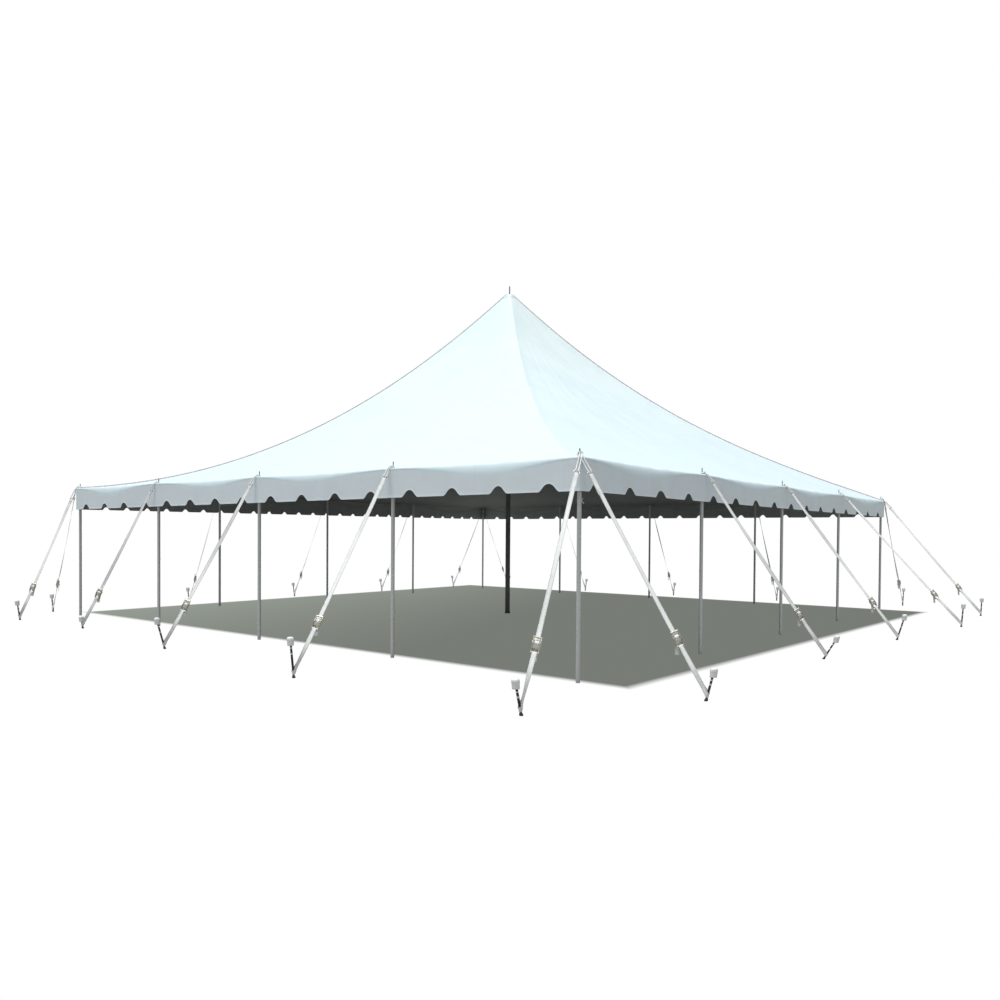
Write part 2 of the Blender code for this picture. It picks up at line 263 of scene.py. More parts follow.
class Field:
    """A number that a node tree works out for each point of a mesh or surface."""

    def __init__(self, tree, socket):
        self.tree = tree
        self.socket = socket

    __add__ = __radd__ = arithmetic("ADD")
    __mul__ = __rmul__ = arithmetic("MULTIPLY")
    __sub__ = arithmetic("SUBTRACT")
    __rsub__ = arithmetic("SUBTRACT", swapped=True)
    __truediv__ = arithmetic("DIVIDE")
    __rtruediv__ = arithmetic("DIVIDE", swapped=True)
    __abs__ = arithmetic("ABSOLUTE")


def combined(operation, *values):
    tree = next(value.tree for value in values if isinstance(value, Field))
    return Field(tree, output(tree, "ShaderNodeMath", dict(enumerate(values)), operation=operation))


def either(operation, plain):
    """A function that takes numbers as they are, and turns fields into a Math node."""

    def work(*values):
        if any(isinstance(value, Field) for value in values):
            return combined(operation, *values)
        return plain(*values)

    return work


sine = either("SINE", sin)
cosine = either("COSINE", cos)
angle_of = either("ARCTAN2", atan2)
root = either("SQRT", sqrt)
exponent = either("EXPONENT", exp)
least = either("MINIMUM", min)
most = either("MAXIMUM", max)
nearest = either("ROUND", round)
whole = either("FLOOR", floor)
sign_of = either("SIGN", lambda value: copysign(1.0, value))


def share_between(value, low, high):
    """How far a value has come from low to high, kept from 0 to 1."""
    return least(1.0, most(0.0, (value - low) / (high - low)))


def socket_of(value):
    return value.socket if isinstance(value, Field) else value


def node(tree, kind, inputs=None, **settings):
    made = tree.nodes.new(kind)
    for name, value in settings.items():
        setattr(made, name, value)
    for place, value in (inputs or {}).items():
        value = socket_of(value)
        if isinstance(value, bpy.types.NodeSocket):
            tree.links.new(value, made.inputs[place])
        else:
            made.inputs[place].default_value = value
    return made


def output(tree, kind, inputs=None, **settings):
    return node(tree, kind, inputs, **settings).outputs[0]


def coordinates(tree, place):
    """The x, y and z of a place, as fields."""
    return [Field(tree, part) for part in node(tree, "ShaderNodeSeparateXYZ", {0: place}).outputs]


NUMBER = "NodeSocketFloat"
COUNT = "NodeSocketInt"
PLACE = "NodeSocketVector"
GEOMETRY = "NodeSocketGeometry"
WITHOUT_UNIT = ("Side", "Notch count")


def new_tree(name, kind, inputs, outputs):
    """A node group with its inputs and outputs, each with a label and a kind of socket."""
    tree = bpy.data.node_groups.new(name, kind)
    for direction, sockets in (("OUTPUT", outputs), ("INPUT", inputs)):
        for label, socket in sockets:
            made = tree.interface.new_socket(label, in_out=direction, socket_type=socket)
            if kind == "GeometryNodeTree" and socket == NUMBER and label not in WITHOUT_UNIT:
                made.subtype = "DISTANCE"
    return tree, tree.nodes.new("NodeGroupInput").outputs, tree.nodes.new("NodeGroupOutput").inputs


# The cloth's rule: one surface from the peak, over the eave and down the valance


def bay_wave(share):
    """0 at each pin and 1 halfway between two."""
    wave = sine(tau * share)
    return wave * wave


def around_corners(turn, values):
    """A value that changes steadily from one corner to the next, once round the tent."""
    return sum(
        value * most(0.0, 1.0 - abs(turn - corner))
        for corner, value in enumerate((*values, values[0]))
    )


def from_pin(along, beyond):
    """How far a place lies along its side from the nearest pin, and how far in all."""
    across = along - BAY * nearest(along / BAY)
    return across, across * across + beyond * beyond


def roof_height(size, turn, share, reach):
    spread = most(0.0, (reach - PEAK_PATCH) / (size.half - PEAK_PATCH))
    bend = 4.0 * spread * (1.0 - spread)
    sag = around_corners(turn, HIP_SAGS) + around_corners(turn, HIP_SKEWS) * (1.0 - 2.0 * spread)
    fade = exponent(-1.0 * most(0.0, size.half - reach) / BAY_SAG_REACH)
    dip = size.bay_sag * bay_wave(share) * fade
    return size.peak + (size.eave - size.peak) * spread - bend * sag - dip


def eave_fold(size, share):
    """How far out and down the eave's fold reaches. It is crisp near a pin, soft in mid-bay."""
    uneven = 0.62 + 0.38 * cosine(share * (tau * HALF / UNEVEN_PITCH))
    soft = bay_wave(share) * uneven
    out = size.roll_at_pins + (size.roll_out - size.roll_at_pins) * soft
    down = size.roll_at_pins + (size.roll_down - size.roll_at_pins) * soft
    return out, down


def folds(size, share, along, beyond):
    """How far folds lift the cloth, at a place along its side and beyond the line of pins."""
    across, squared = from_pin(along, beyond)
    away = root(squared + 0.0004)
    ray = 0.5 + 0.5 * cosine(FOLD_RAYS * angle_of(abs(across), beyond))
    clear_of_pin = 1.0 - exponent(-PIN_FADE * away * away)
    above_hem = 1.0 - share_between(beyond, 0.0, FOLD_END)
    feet = size.wrinkle * ray * ray * clear_of_pin * exponent(-FOLD_FADE * away) * above_hem
    waves = sum(tall * sine(fast * along + start) for tall, fast, start in RIPPLES)
    reach_in = exponent(2.2 * least(0.0, beyond)) * (1.0 + 2.2 * most(0.0, beyond))
    slack = size.ripple * waves * bay_wave(share) * reach_in
    patch = PIN_PATCH_RISE * (1.0 - share_between(away, *PIN_PATCH))
    return feet + slack + patch


def strain_lines(size, share, reach):
    spread = share_between(reach, 0.0, HALF)
    lines = sum(tall * cosine(fast * share) for tall, fast in STRAINS)
    return size.strain * lines * spread * (1.0 - spread) * 4.0


def cloth_place(side, share, reach, height, lift, tilt):
    """A point of the cloth as x, y and z. The tent's corners are rounded a little in plan."""
    near_rim = share_between(reach, HALF - CORNER_REACH, HALF)
    near_peak = PEAK_PATCH * exponent((PEAK_PATCH - reach) / PEAK_REACH)
    rounding = most(0.00001, least(reach, near_peak + CORNER_ROUND * near_rim))
    along = share * reach
    keep = reach - rounding
    past = most(0.0, abs(along) - keep)
    far = root(past * past + rounding * rounding)
    grown = rounding + lift * sine(tilt)
    along = sign_of(share) * (least(abs(along), keep) + grown * past / far)
    reach = keep + grown * rounding / far
    turned, turned_up = cosine(QUARTER * side), sine(QUARTER * side)
    x = along * turned + reach * turned_up
    y = along * turned_up - reach * turned
    return x, y, height + lift * cosine(tilt)


def roof_place(size, turn, down):
    """A point of the canopy at a turn from 0 to 4 round the tent and a share of the way down."""
    side = least(3.0, whole(turn))
    share = 2.0 * (turn - side) - 1.0
    out, drop = eave_fold(size, share)
    first = share_between(down, 0.0, PATCH_END)
    run = 1.0 - share_between(down, PATCH_END, FOLD_START)
    fold = share_between(down, FOLD_START, HEM_START)
    hem = share_between(down, HEM_START, 1.0)
    over = QUARTER * fold
    rest = run * root(run)
    flat_reach = PEAK_PATCH * first + (HALF + RIM - LAP - out - PEAK_PATCH) * (1.0 - rest)
    reach = flat_reach + out * sine(over)
    height = roof_height(size, turn, share, reach) - drop * (1.0 - cosine(over)) - size.hem * hem
    tilt = angle_of(drop * sine(over), out * cosine(over) + 0.000001)
    beyond = flat_reach - HALF + (out + drop) / 2.0 * over + size.hem * hem
    bead = size.bead * (1.0 - bay_wave(share)) * 4.0 * fold * (1.0 - fold)
    lift = folds(size, share, share * reach, beyond) + strain_lines(size, share, reach) + bead
    return cloth_place(side, share, reach, height, lift * share_between(down, 0.02, 0.1), tilt)


def closer_near_pins(size, across, down):
    """The same point at a share of the way round, with the cloth's columns closer near the pins."""
    bay = across * (BAYS * 4.0)
    start = whole(bay)
    within = bay - start
    closer = within - 0.35 / tau * sine(tau * within)
    return roof_place(size, (start + closer) / BAYS, down)


def valance_place(size, across, down):
    """A point of one side's valance, at shares of its length and of its height."""
    rim = HALF + RIM
    share = 2.0 * across - 1.0
    along = share * rim
    turn = size.side + across
    out, drop = eave_fold(size, share)
    fold_end = roof_height(size, turn, share, rim) - drop
    top = fold_end - size.hem + 0.014
    turns = (along + HALF - size.first_notch) / size.notch_pitch
    counted = least(size.notch_count - 1.0, most(0.0, nearest(turns)))
    away = least(abs(turns - counted) * size.notch_pitch, size.notch_width / 2.0)
    wave = 0.5 + 0.5 * cosine(tau * away / size.notch_width)
    bell = wave * (1.6 - 0.6 * wave)
    bottom = around_corners(turn, VALANCE_BOTTOM) + size.notch_depth * bell
    upper = share_between(down, 0.0, BINDING_START)
    bound = share_between(down, BINDING_START, 1.0)
    height = top + (bottom + size.binding - top) * upper - size.binding * bound
    beyond = RIM - out + (out + drop) / 2.0 * QUARTER + fold_end - height
    proud = 0.0011 * share_between(down, BINDING_START, BINDING_START + BINDING_STEP)
    lift = folds(size, share, along, beyond) + proud
    return cloth_place(size.side, share, rim, height, lift, QUARTER)


SHAPING = (
    "roll_at_pins", "roll_out", "roll_down", "bead", "hem", "wrinkle", "ripple", "strain", "binding",
)


def cloth_sizes(**more):
    chosen = {name: getattr(bpy.context.scene.tent_cloth, name) for name in SHAPING}
    return SimpleNamespace(half=HALF, eave=EAVE, peak=PEAK, bay_sag=BAY_SAG, **chosen, **more)


def cloth_tree(name, sizes, rule, outside, edge=None):
    """A geometry tree that lays a grid on a rule, with an input for each size."""
    labels = [label.replace("_", " ").capitalize() for label in vars(sizes)]
    inputs = [("Columns", COUNT), ("Rows", COUNT), *((label, NUMBER) for label in labels)]
    tree, given, finished = new_tree(name, "GeometryNodeTree", inputs, [("Geometry", GEOMETRY)])
    tree.is_modifier = True
    size = SimpleNamespace(
        **{label: Field(tree, given[place + 2]) for place, label in enumerate(vars(sizes))}
    )

    def step(kind, before, inputs, **settings):
        return output(tree, f"GeometryNode{kind}", {0: before, **inputs}, **settings)

    cloth = output(tree, "GeometryNodeMeshGrid", {"Vertices X": given[0], "Vertices Y": given[1]})
    x, y, _ = coordinates(tree, output(tree, "GeometryNodeInputPosition"))
    across, down = x + 0.5, 0.5 - y
    if edge:
        low = combined("GREATER_THAN", down, BINDING_START + BINDING_STEP)
        named = {"Name": "edge", "Value": low}
        cloth = step("StoreNamedAttribute", cloth, named, domain="FACE", data_type="FLOAT")
    point = output(tree, "ShaderNodeCombineXYZ", dict(enumerate(rule(size, across, down))))
    cloth = step("SetPosition", cloth, {"Position": point})
    cloth = step("MergeByDistance", cloth, {"Distance": 0.0001})
    cloth = step("RealizeInstances", cloth, {})
    cloth = step("SetMaterial", cloth, {"Material": outside})
    if edge:
        marked = Field(tree, output(tree, "GeometryNodeInputNamedAttribute", {"Name": "edge"}))
        chosen = combined("GREATER_THAN", marked, 0.5)
        cloth = step("SetMaterial", cloth, {"Selection": chosen, "Material": edge})
        cloth = step("RemoveAttribute", cloth, {"Name": "edge"})
    tree.links.new(cloth, finished[0])
    return tree


def run_tree(obj, tree, values):
    """Runs a geometry tree on an object, with values for its last inputs."""
    modifier = obj.modifiers.new(tree.name, "NODES")
    modifier.node_group = tree
    inputs = [item for item in tree.interface.items_tree if item.in_out == "INPUT"]
    for item, value in zip(inputs[-len(values):], values):
        modifier[item.identifier] = value
    take_shape(obj)


def grown_cloth(name, tree, columns, rows, sizes, finishes):
    """Runs a cloth tree, and gives its sheet a thickness with the lining inside."""
    obj = new_object(name, bpy.data.meshes.new(name))
    run_tree(obj, tree, (columns + 1, rows + 1, *vars(sizes).values()))
    obj.data.materials.clear()
    for each in finishes:
        obj.data.materials.append(finish(each))
    for face in obj.data.polygons:
        face.material_index *= 2
    shell = obj.modifiers.new("Shell", "SOLIDIFY")
    shell.thickness = bpy.context.scene.tent_cloth.thickness
    shell.offset = -1.0
    shell.material_offset = 1
    shell.material_offset_rim = 0
    take_shape(obj)
    obj.data.shade_smooth()
    obj.data.set_sharp_from_angle(angle=radians(50))
    return obj


def new_object(name, data):
    obj = bpy.data.objects.new(name, data)
    bpy.context.scene.collection.objects.link(obj)
    return obj


def take_shape(obj):
    """Turns what an object's modifiers give into its own plain mesh."""
    bpy.context.view_layer.update()
    evaluated = obj.evaluated_get(bpy.context.evaluated_depsgraph_get())
    mesh = bpy.data.meshes.new_from_object(evaluated)
    obj.modifiers.clear()
    mesh.name = obj.name
    obj.data = mesh


def settle(obj, nodes=()):
    """Makes a finished piece a part of the tent."""
    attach(obj, "root")
    if nodes:
        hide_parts(*nodes)


# Mesh shapes


class Shape:
    """A mesh under construction, with a flat map in metres for its weave or grain."""

    def __init__(self):
        self.bm = bmesh.new()
        self.flat = self.bm.loops.layers.uv.new("flat")
        self.finish = 0
        self.place = Matrix.Identity(4)

    def loft(self, rings, around, along, closed=False):
        """Skins rings of points. The flat map has a number for each point round and each ring."""
        made = [[self.bm.verts.new(self.place @ Vector(point)) for point in ring] for ring in rings]
        count = len(made[0])
        pairs = [(i, i + 1) for i in range(len(made) - 1)]
        if closed:
            pairs.append((len(made) - 1, 0))
        for low, high in pairs:
            start, end = along[low], along[high] if high else along[-1] + 0.01
            for i in range(count):
                j = (i + 1) % count
                before, after = around[i], around[i + 1]
                places = ((before, start), (after, start), (after, end), (before, end))
                self.face((made[low][i], made[low][j], made[high][j], made[high][i]), places)
        if not closed:
            for ring in (made[0], made[-1]):
                self.face(ring, [(place, 0.0) for place in around])

    def face(self, corners, places):
        face = self.bm.faces.new(corners)
        face.material_index = self.finish
        face.smooth = True
        for loop, place in zip(face.loops, places):
            loop[self.flat].uv = place

    def ribbon(self, spine, width, thickness):
        """Webbing along a spine, a list of points with the direction of the webbing's width."""
        edge = thickness * 0.45
        half, thick = width / 2, thickness / 2
        outline = [
            (-half, 0), (-half + edge, thick), (0, thick), (half - edge, thick),
            (half, 0), (half - edge, -thick), (0, -thick), (-half + edge, -thick),
        ]
        points = [Vector(point) for point, _ in spine]
        rings = []
        for i, (point, across) in enumerate(spine):
            ahead = points[min(i + 1, len(points) - 1)] - points[max(i - 1, 0)]
            face = ahead.cross(across).normalized()
            true_across = face.cross(ahead).normalized()
            rings.append([Vector(point) + true_across * a + face * b for a, b in outline])
        self.loft(rings, [a for a, _ in outline] + [-half], distances(points))

    def tube(self, points, radius, sides=10, closed=False):
        """A round rod along a line of points. The radius may change from point to point."""
        points = [Vector(point) for point in points]
        radii = radius if isinstance(radius, list) else [radius] * len(points)
        count = len(points)
        normal = None
        rings = []
        for i, point in enumerate(points):
            after = points[(i + 1) % count] if closed else points[min(i + 1, count - 1)]
            before = points[i - 1] if closed else points[max(i - 1, 0)]
            ahead = (after - before).normalized()
            if normal is None:
                normal = ahead.orthogonal()
            normal = (normal - ahead * normal.dot(ahead)).normalized()
            side = ahead.cross(normal)
            rings.append([point + (normal * cos(a) + side * sin(a)) * radii[i] for a in turns(sides)])
        self.loft(rings, way_round(radii[0], sides), distances(points), closed)

    def lathe(self, profile, start=Vector(), axis=UP, sides=24, level=False):
        """Turns a profile of radius and height round an axis. Level rings lie flat."""
        turn = Quaternion() if level else UP.rotation_difference(axis)
        spokes = [turn @ level_way(a) for a in turns(sides, 0.5)]
        rings = []
        for radius, height in profile:
            centre = Vector(start) + axis * height
            rings.append([centre + spoke * radius for spoke in spokes])
        widest = max(radius for radius, _ in profile)
        self.loft(rings, way_round(widest, sides), distances(profile))

    def plate(self, outline, thickness, bevel=0.0006, place=(0, 0, 0)):
        """A flat plate from its outline in x and z, with softened edges, centred on a place."""
        kept = self.place
        self.place = kept @ Matrix.Translation(place)
        middle = sum((Vector(point) for point in outline), Vector((0, 0))) / len(outline)
        soft = bevel / thickness
        rings = []
        for level, inset in ((-0.5, bevel), (-0.5 + soft, 0), (0.5 - soft, 0), (0.5, bevel)):
            inward = [(middle - Vector(point)).normalized() * inset for point in outline]
            rings.append([(x + i.x, thickness * level, z + i.y) for (x, z), i in zip(outline, inward)])
        around = distances((*outline, outline[0]))
        self.loft(rings, around, [0, bevel, thickness - bevel, thickness])
        self.place = kept

    def into(self, name, *finishes, smooth_angle=40):
        bmesh.ops.recalc_face_normals(self.bm, faces=self.bm.faces)
        mesh = bpy.data.meshes.new(name)
        self.bm.to_mesh(mesh)
        self.bm.free()
        mesh.set_sharp_from_angle(angle=radians(smooth_angle))
        for each in finishes:
            mesh.materials.append(finish(each))
        return new_object(name, mesh)


def turns(count, start=0):
    """Angles once round, in equal steps."""
    return [tau * (k + start) / count for k in range(count)]


def way_round(radius, sides):
    """How far round a circle each corner of its outline lies."""
    return [tau * radius * k / sides for k in range(sides + 1)]


def level_way(angle):
    return Vector((cos(angle), sin(angle), 0))


def distances(points):
    """How far along a line each of its points lies."""
    along = [0.0]
    for before, after in zip(points, points[1:]):
        along.append(along[-1] + (Vector(after) - Vector(before)).length)
    return along


def rounded_line(points, steps=6):
    """A smooth curve through points."""
    points = [Vector(point) for point in points]
    padded = [points[0] * 2 - points[1], *points, points[-1] * 2 - points[-2]]
    line = []
    for a, b, c, d in zip(padded, padded[1:], padded[2:], padded[3:]):
        for step in range(steps):
            t = step / steps
            square = (2 * a - 5 * b + 4 * c - d) * t * t
            line.append(0.5 * (2 * b + (c - a) * t + square + (3 * b - a - 3 * c + d) * t * t * t))
    return [*line, points[-1]]


def eased(share):
    share = min(1.0, max(0.0, share))
    return share * share * (3 - 2 * share)


def on_side(side, along, out, height):
    south = Vector((along, -(HALF + out), height))
    return Matrix.Rotation(radians(90) * SIDES.index(side), 3, "Z") @ south


# Effects that the finishes share, each a shader node group that gives one number


def patches(tree, place, scale, threshold, softness):
    """Soft irregular patches, as dust, rust and scuffs make."""
    inputs = {"Vector": place, "Scale": scale, "Detail": 6.0, "Roughness": 0.62}
    level = Field(tree, output(tree, "ShaderNodeTexNoise", inputs))
    return share_between(level, threshold, threshold + softness)


def weave(tree, place, pitch):
    """The over and under of a plain weave, from a flat place in metres."""
    x, y, _ = coordinates(tree, place)
    u, v = x / pitch, y / pitch
    over = sine(pi * u) * sine(pi * v)
    threads = abs(cosine(pi * (u + 0.5))) * 0.5 + abs(cosine(pi * (v + 0.5))) * 0.5
    return 0.5 + 0.35 * over + 0.15 * threads


def ground_dirt(tree, place, reach):
    """Dust and splashes that fade with height above the ground."""
    inputs = {"Vector": place, "Scale": 22.0, "Detail": 5.0}
    noise = Field(tree, output(tree, "ShaderNodeTexNoise", inputs))
    return share_between(noise * 1.3 - coordinates(tree, place)[2] / reach, 0.15, 0.75)


EFFECTS = {
    "Patches": (patches, ("Scale", "Threshold", "Softness")),
    "Weave": (weave, ("Pitch",)),
    "Ground dirt": (ground_dirt, ("Reach",)),
}


def effect(name):
    """One of the shared effects, built the first time it is asked for."""
    if name not in bpy.data.node_groups:
        build, labels = EFFECTS[name]
        inputs = [("Place", PLACE), *((label, NUMBER) for label in labels)]
        tree, given, finished = new_tree(name, "ShaderNodeTree", inputs, [("Value", NUMBER)])
        values = [Field(tree, given[label]) for label in labels]
        tree.links.new(build(tree, given["Place"], *values).socket, finished[0])
    return bpy.data.node_groups[name]


# Finishes


def blended(tree, factor, first, second):
    made = node(tree, "ShaderNodeMix", {0: factor, 6: first, 7: second}, data_type="RGBA")
    return made.outputs[2]


def seen_by_camera(tree, lighting, seen):
    """A shader with one look for the camera and another for the light it gives."""
    rays = tree.nodes.new("ShaderNodeLightPath").outputs["Is Camera Ray"]
    return output(tree, "ShaderNodeMixShader", {0: rays, 1: lighting, 2: seen})


def scaled(shade, share):
    return tuple(min(1.0, channel * share) for channel in shade)


def chosen_colour(name):
    return tuple(getattr(bpy.context.scene.tent_colours, name))


class Finish:
    """A material under construction."""

    def __init__(self, name, shade, roughness, metallic=0.0):
        self.material = bpy.data.materials.new(name)
        self.material.use_nodes = True
        self.tree = self.material.node_tree
        self.shader = self.tree.nodes["Principled BSDF"]
        self.shade = shade
        self.set("Roughness", roughness)
        self.set("Metallic", metallic)
        given = self.tree.nodes.new("ShaderNodeTexCoord").outputs
        self.place = given["Object"]
        self.flat = given["UV"]

    def set(self, name, value):
        self.shader.inputs[name].default_value = value

    def use(self, name, place, *values):
        inputs = dict(enumerate((place, *values)))
        return Field(self.tree, output(self.tree, "ShaderNodeGroup", inputs, node_tree=effect(name)))

    def patches(self, scale, threshold, softness, place=None):
        return self.use("Patches", place or self.place, scale, threshold, softness)

    def weave(self, pitch, place=None):
        return self.use("Weave", place or self.place, pitch)

    def dirt(self, reach):
        return self.use("Ground dirt", self.place, reach)

    def stretched(self, scale, place=None):
        inputs = {"Vector": place or self.place, "Scale": scale}
        return output(self.tree, "ShaderNodeMapping", inputs)

    def spot(self, place=None):
        return coordinates(self.tree, place or self.place)

    def feed(self, name, value):
        self.tree.links.new(socket_of(value), self.shader.inputs[name])

    def paint(self, layers, first=1.0):
        """Sets the colour: a share of the shade, under layers of a mask and a share or colour."""
        result = (*scaled(self.shade, first), 1.0)
        for mask, over in layers:
            over = over if isinstance(over, tuple) else scaled(self.shade, over)
            result = blended(self.tree, mask, result, (*over, 1.0))
        self.feed("Base Color", result)

    def surface(self, roughness, metallic, height, depth, strength):
        """Sets the roughness, the metal if it varies, and the relief with its depth and strength."""
        self.feed("Roughness", roughness)
        if metallic:
            self.feed("Metallic", metallic)
        inputs = {"Height": height, "Distance": depth, "Strength": strength}
        self.feed("Normal", output(self.tree, "ShaderNodeBump", inputs))


def seam_masks(made):
    """Where the canopy's welded seams and its patches round the pins lie."""
    x, y, _ = made.spot()
    along, reach = least(abs(x), abs(y)), most(abs(x), abs(y))
    panel = BAY / 2
    from_seam = abs(along - panel * nearest(along / panel))
    seam = 1.0 - share_between(from_seam, 0.018, 0.021)
    away = root(from_pin(along, reach - HALF)[1])
    patch_edge = 1.0 - share_between(abs(away - 0.19), 0.002, 0.004)
    return seam, patch_edge, reach


def stitch_mask(along):
    return share_between(sine(along * (tau / 0.008)), 0.1, 0.4)


def vinyl_finish(made):
    seam, patch_edge, reach = seam_masks(made)
    cloudy = made.patches(0.9, 0.42, 0.25)
    x, y, z = made.spot()
    # Painted light: the upper roof is painted lighter and bluer, most of all on its east and north faces,
    # to even out its shading
    painted_light_upper_roof = (0.45 + 0.55 * share_between(x + y, -0.5, 0.5)) * share_between(z, 3.0, 5.4)
    dust = made.patches(5.0, 0.50, 0.30) * share_between(reach, HALF - 1.2, HALF + RIM)
    made.paint(
        (
            (painted_light_upper_roof, (0.875, 0.985, 1.0)), (cloudy * 0.6, 0.955), (seam * 0.35, 0.94),
            (patch_edge * 0.35, 0.88), (dust * 0.25, (0.70, 0.71, 0.68)),
        )
    )
    creases = made.patches(3.0, 0.30, 0.45, made.stretched((1.0, 1.0, 2.2)))
    relief = made.weave(0.0016) * 0.12 + seam * 0.5 + patch_edge * 0.4 + creases * 1.6
    made.surface(0.40 + creases * 0.10 + dust * 0.15, None, relief, 0.0012, 0.7)
    made.set("Coat Weight", 0.08)
    made.set("Coat Roughness", 0.3)


# The inside of the cloth: its dark colour is painted shade, with painted light towards the rim and the
# north
def lining_finish(made, painted_light_at_rim):
    seam, patch_edge, reach = seam_masks(made)
    cloudy = made.patches(1.4, 0.42, 0.25)
    # Painted light: the lining is painted lighter towards the rim, where the eave's fold shades it
    fold = share_between(reach, HALF - 0.05, HALF + 0.03)
    # Painted light: the lining is painted lighter towards the north side
    north = share_between(made.spot()[1], 2.5, HALF)
    made.paint(
        (
            (cloudy * 0.5, 1.25), (seam * 0.6, 0.8), (patch_edge * 0.5, 1.5), (north * 0.85, 2.0),
            (fold * 0.9, painted_light_at_rim),
        )
    )
    relief = made.weave(0.0016) * 0.15 + seam * 0.5 + cloudy * 0.8
    made.surface(0.6 + cloudy * 0.12, None, relief, 0.0012, 0.7)


def binding_finish(made):
    x, y, _ = made.spot()
    ribs = 0.5 + 0.5 * sine((x + y) * (tau / 0.003))
    stitches = stitch_mask(x + y)
    worn = made.patches(8.0, 0.52, 0.2)
    made.paint(((worn * 0.4, 0.85), (stitches * 0.2, 0.8)), 0.95)
    made.surface(0.55 + worn * 0.15, None, ribs * 0.4 + stitches * 0.8, 0.0006, 0.8)


def hip_finish(made):
    u, v, _ = made.spot(made.flat)
    row = 1.0 - share_between(abs(abs(u) - 0.009), 0.0006, 0.0012)
    stitches = stitch_mask(v) * row
    worn = made.patches(7.0, 0.50, 0.2)
    made.paint(((worn * 0.4, 1.2), (stitches * 0.6, 0.7)))
    relief = made.weave(0.0022, made.flat) * 0.5 + stitches
    made.surface(0.55 + worn * 0.15, None, relief, 0.0007, 0.8)


def webbing_finish(made):
    u = made.spot(made.flat)[0]
    edge_line = 1.0 - share_between(abs(abs(u) - 0.0170), 0.0024, 0.0038)
    middle = 1.0 - share_between(abs(u), 0.0012, 0.003)
    selvedge = share_between(abs(u), 0.0214, 0.0222)
    grime = made.patches(9.0, 0.50, 0.22)
    threads = made.patches(1.0, 0.45, 0.3, made.stretched((160.0, 3.0, 1.0), made.flat))
    made.paint(
        (
            (threads * 0.35, 0.86), (edge_line * 0.60, 0.62), (middle * 0.30, 0.70),
            (selvedge * 0.75, 0.62), (grime * 0.30, (0.52, 0.50, 0.45)),
        )
    )
    ribs = 0.5 + 0.5 * sine(u * (tau / 0.0031))
    relief = made.weave(0.0024, made.flat) * 0.7 + ribs * 0.3 + edge_line * 0.3
    made.surface(0.68 + grime * 0.2, None, relief, 0.0009, 0.9)
    made.set("Sheen Weight", 0.15)


def tube_finish(made):
    draw = made.patches(26.0, 0.40, 0.30, made.stretched((1.0, 1.0, 0.05)))
    scuffs = made.patches(34.0, 0.60, 0.06, made.stretched((1.0, 1.0, 0.6)))
    cloudy = made.patches(5.0, 0.40, 0.3)
    dirt = made.dirt(0.16)
    made.paint(
        ((draw * 0.4, 0.85), (cloudy * 0.3, 1.12), (scuffs * 0.7, 1.5), (dirt * 0.35, (0.26, 0.24, 0.20)))
    )
    relief = draw * 0.5 + scuffs * -0.8
    made.surface(0.36 + draw * 0.14 + dirt * 0.3, 0.45 - dirt * 0.4, relief, 0.0005, 0.6)


# Dark paint on the centre pole, made darker as painted shade for the shade under the canopy, with chips
# and dirt
def mast_finish(made):
    cloudy = made.patches(6.0, 0.42, 0.25)
    chips = made.patches(30.0, 0.66, 0.03)
    dirt = made.dirt(0.4)
    made.paint(((cloudy * 0.5, 1.5), (chips, (0.30, 0.30, 0.29)), (dirt * 0.5, (0.14, 0.12, 0.09))))
    relief = cloudy * 0.2 - chips * 0.6
    made.surface(0.40 + cloudy * 0.15 + dirt * 0.2, 0.1 + chips * 0.7, relief, 0.0006, 0.6)


def plated_finish(made, rust_share):
    rust = chosen_colour("rust")
    rusty = made.patches(45.0, 0.62 - rust_share * 0.2, 0.10)
    spots = made.patches(140.0, 0.64, 0.06)
    cloudy = made.patches(30.0, 0.40, 0.3)
    made.paint(((cloudy * 0.5, 0.75), (spots * 0.5, scaled(rust, 1.6)), (rusty, rust)))
    relief = rusty * 0.8 + spots * 0.4
    made.surface(0.34 + cloudy * 0.12 + rusty * 0.4, 0.6 - rusty * 0.55, relief, 0.0005, 0.7)


def stake_finish(made):
    rusty = made.patches(40.0, 0.58, 0.10)
    scratches = made.patches(60.0, 0.63, 0.04, made.stretched((1.0, 1.0, 0.2)))
    dirt = made.dirt(0.14)
    made.paint(
        (
            (rusty * 0.8, scaled(chosen_colour("rust"), 0.6)), (scratches, (0.32, 0.32, 0.31)),
            (dirt * 0.8, (0.16, 0.13, 0.09)),
        )
    )
    relief = rusty * 0.5 - scratches * 0.6 + dirt * 0.4
    made.surface(0.50 + rusty * 0.3, 0.3 + scratches * 0.5, relief, 0.0007, 0.8)


def cap_finish(made):
    cloudy = made.patches(12.0, 0.42, 0.3)
    scuffs = made.patches(48.0, 0.60, 0.05)
    dirt = made.patches(26.0, 0.55, 0.2)
    made.paint(((cloudy * 0.5, 0.90), (dirt * 0.4, (0.42, 0.39, 0.33)), (scuffs * 0.6, 0.62)))
    relief = cloudy * 0.4 - scuffs * 0.5
    made.surface(0.32 + scuffs * 0.3 + dirt * 0.2, None, relief, 0.0006, 0.7)
    made.set("Coat Weight", 0.2)


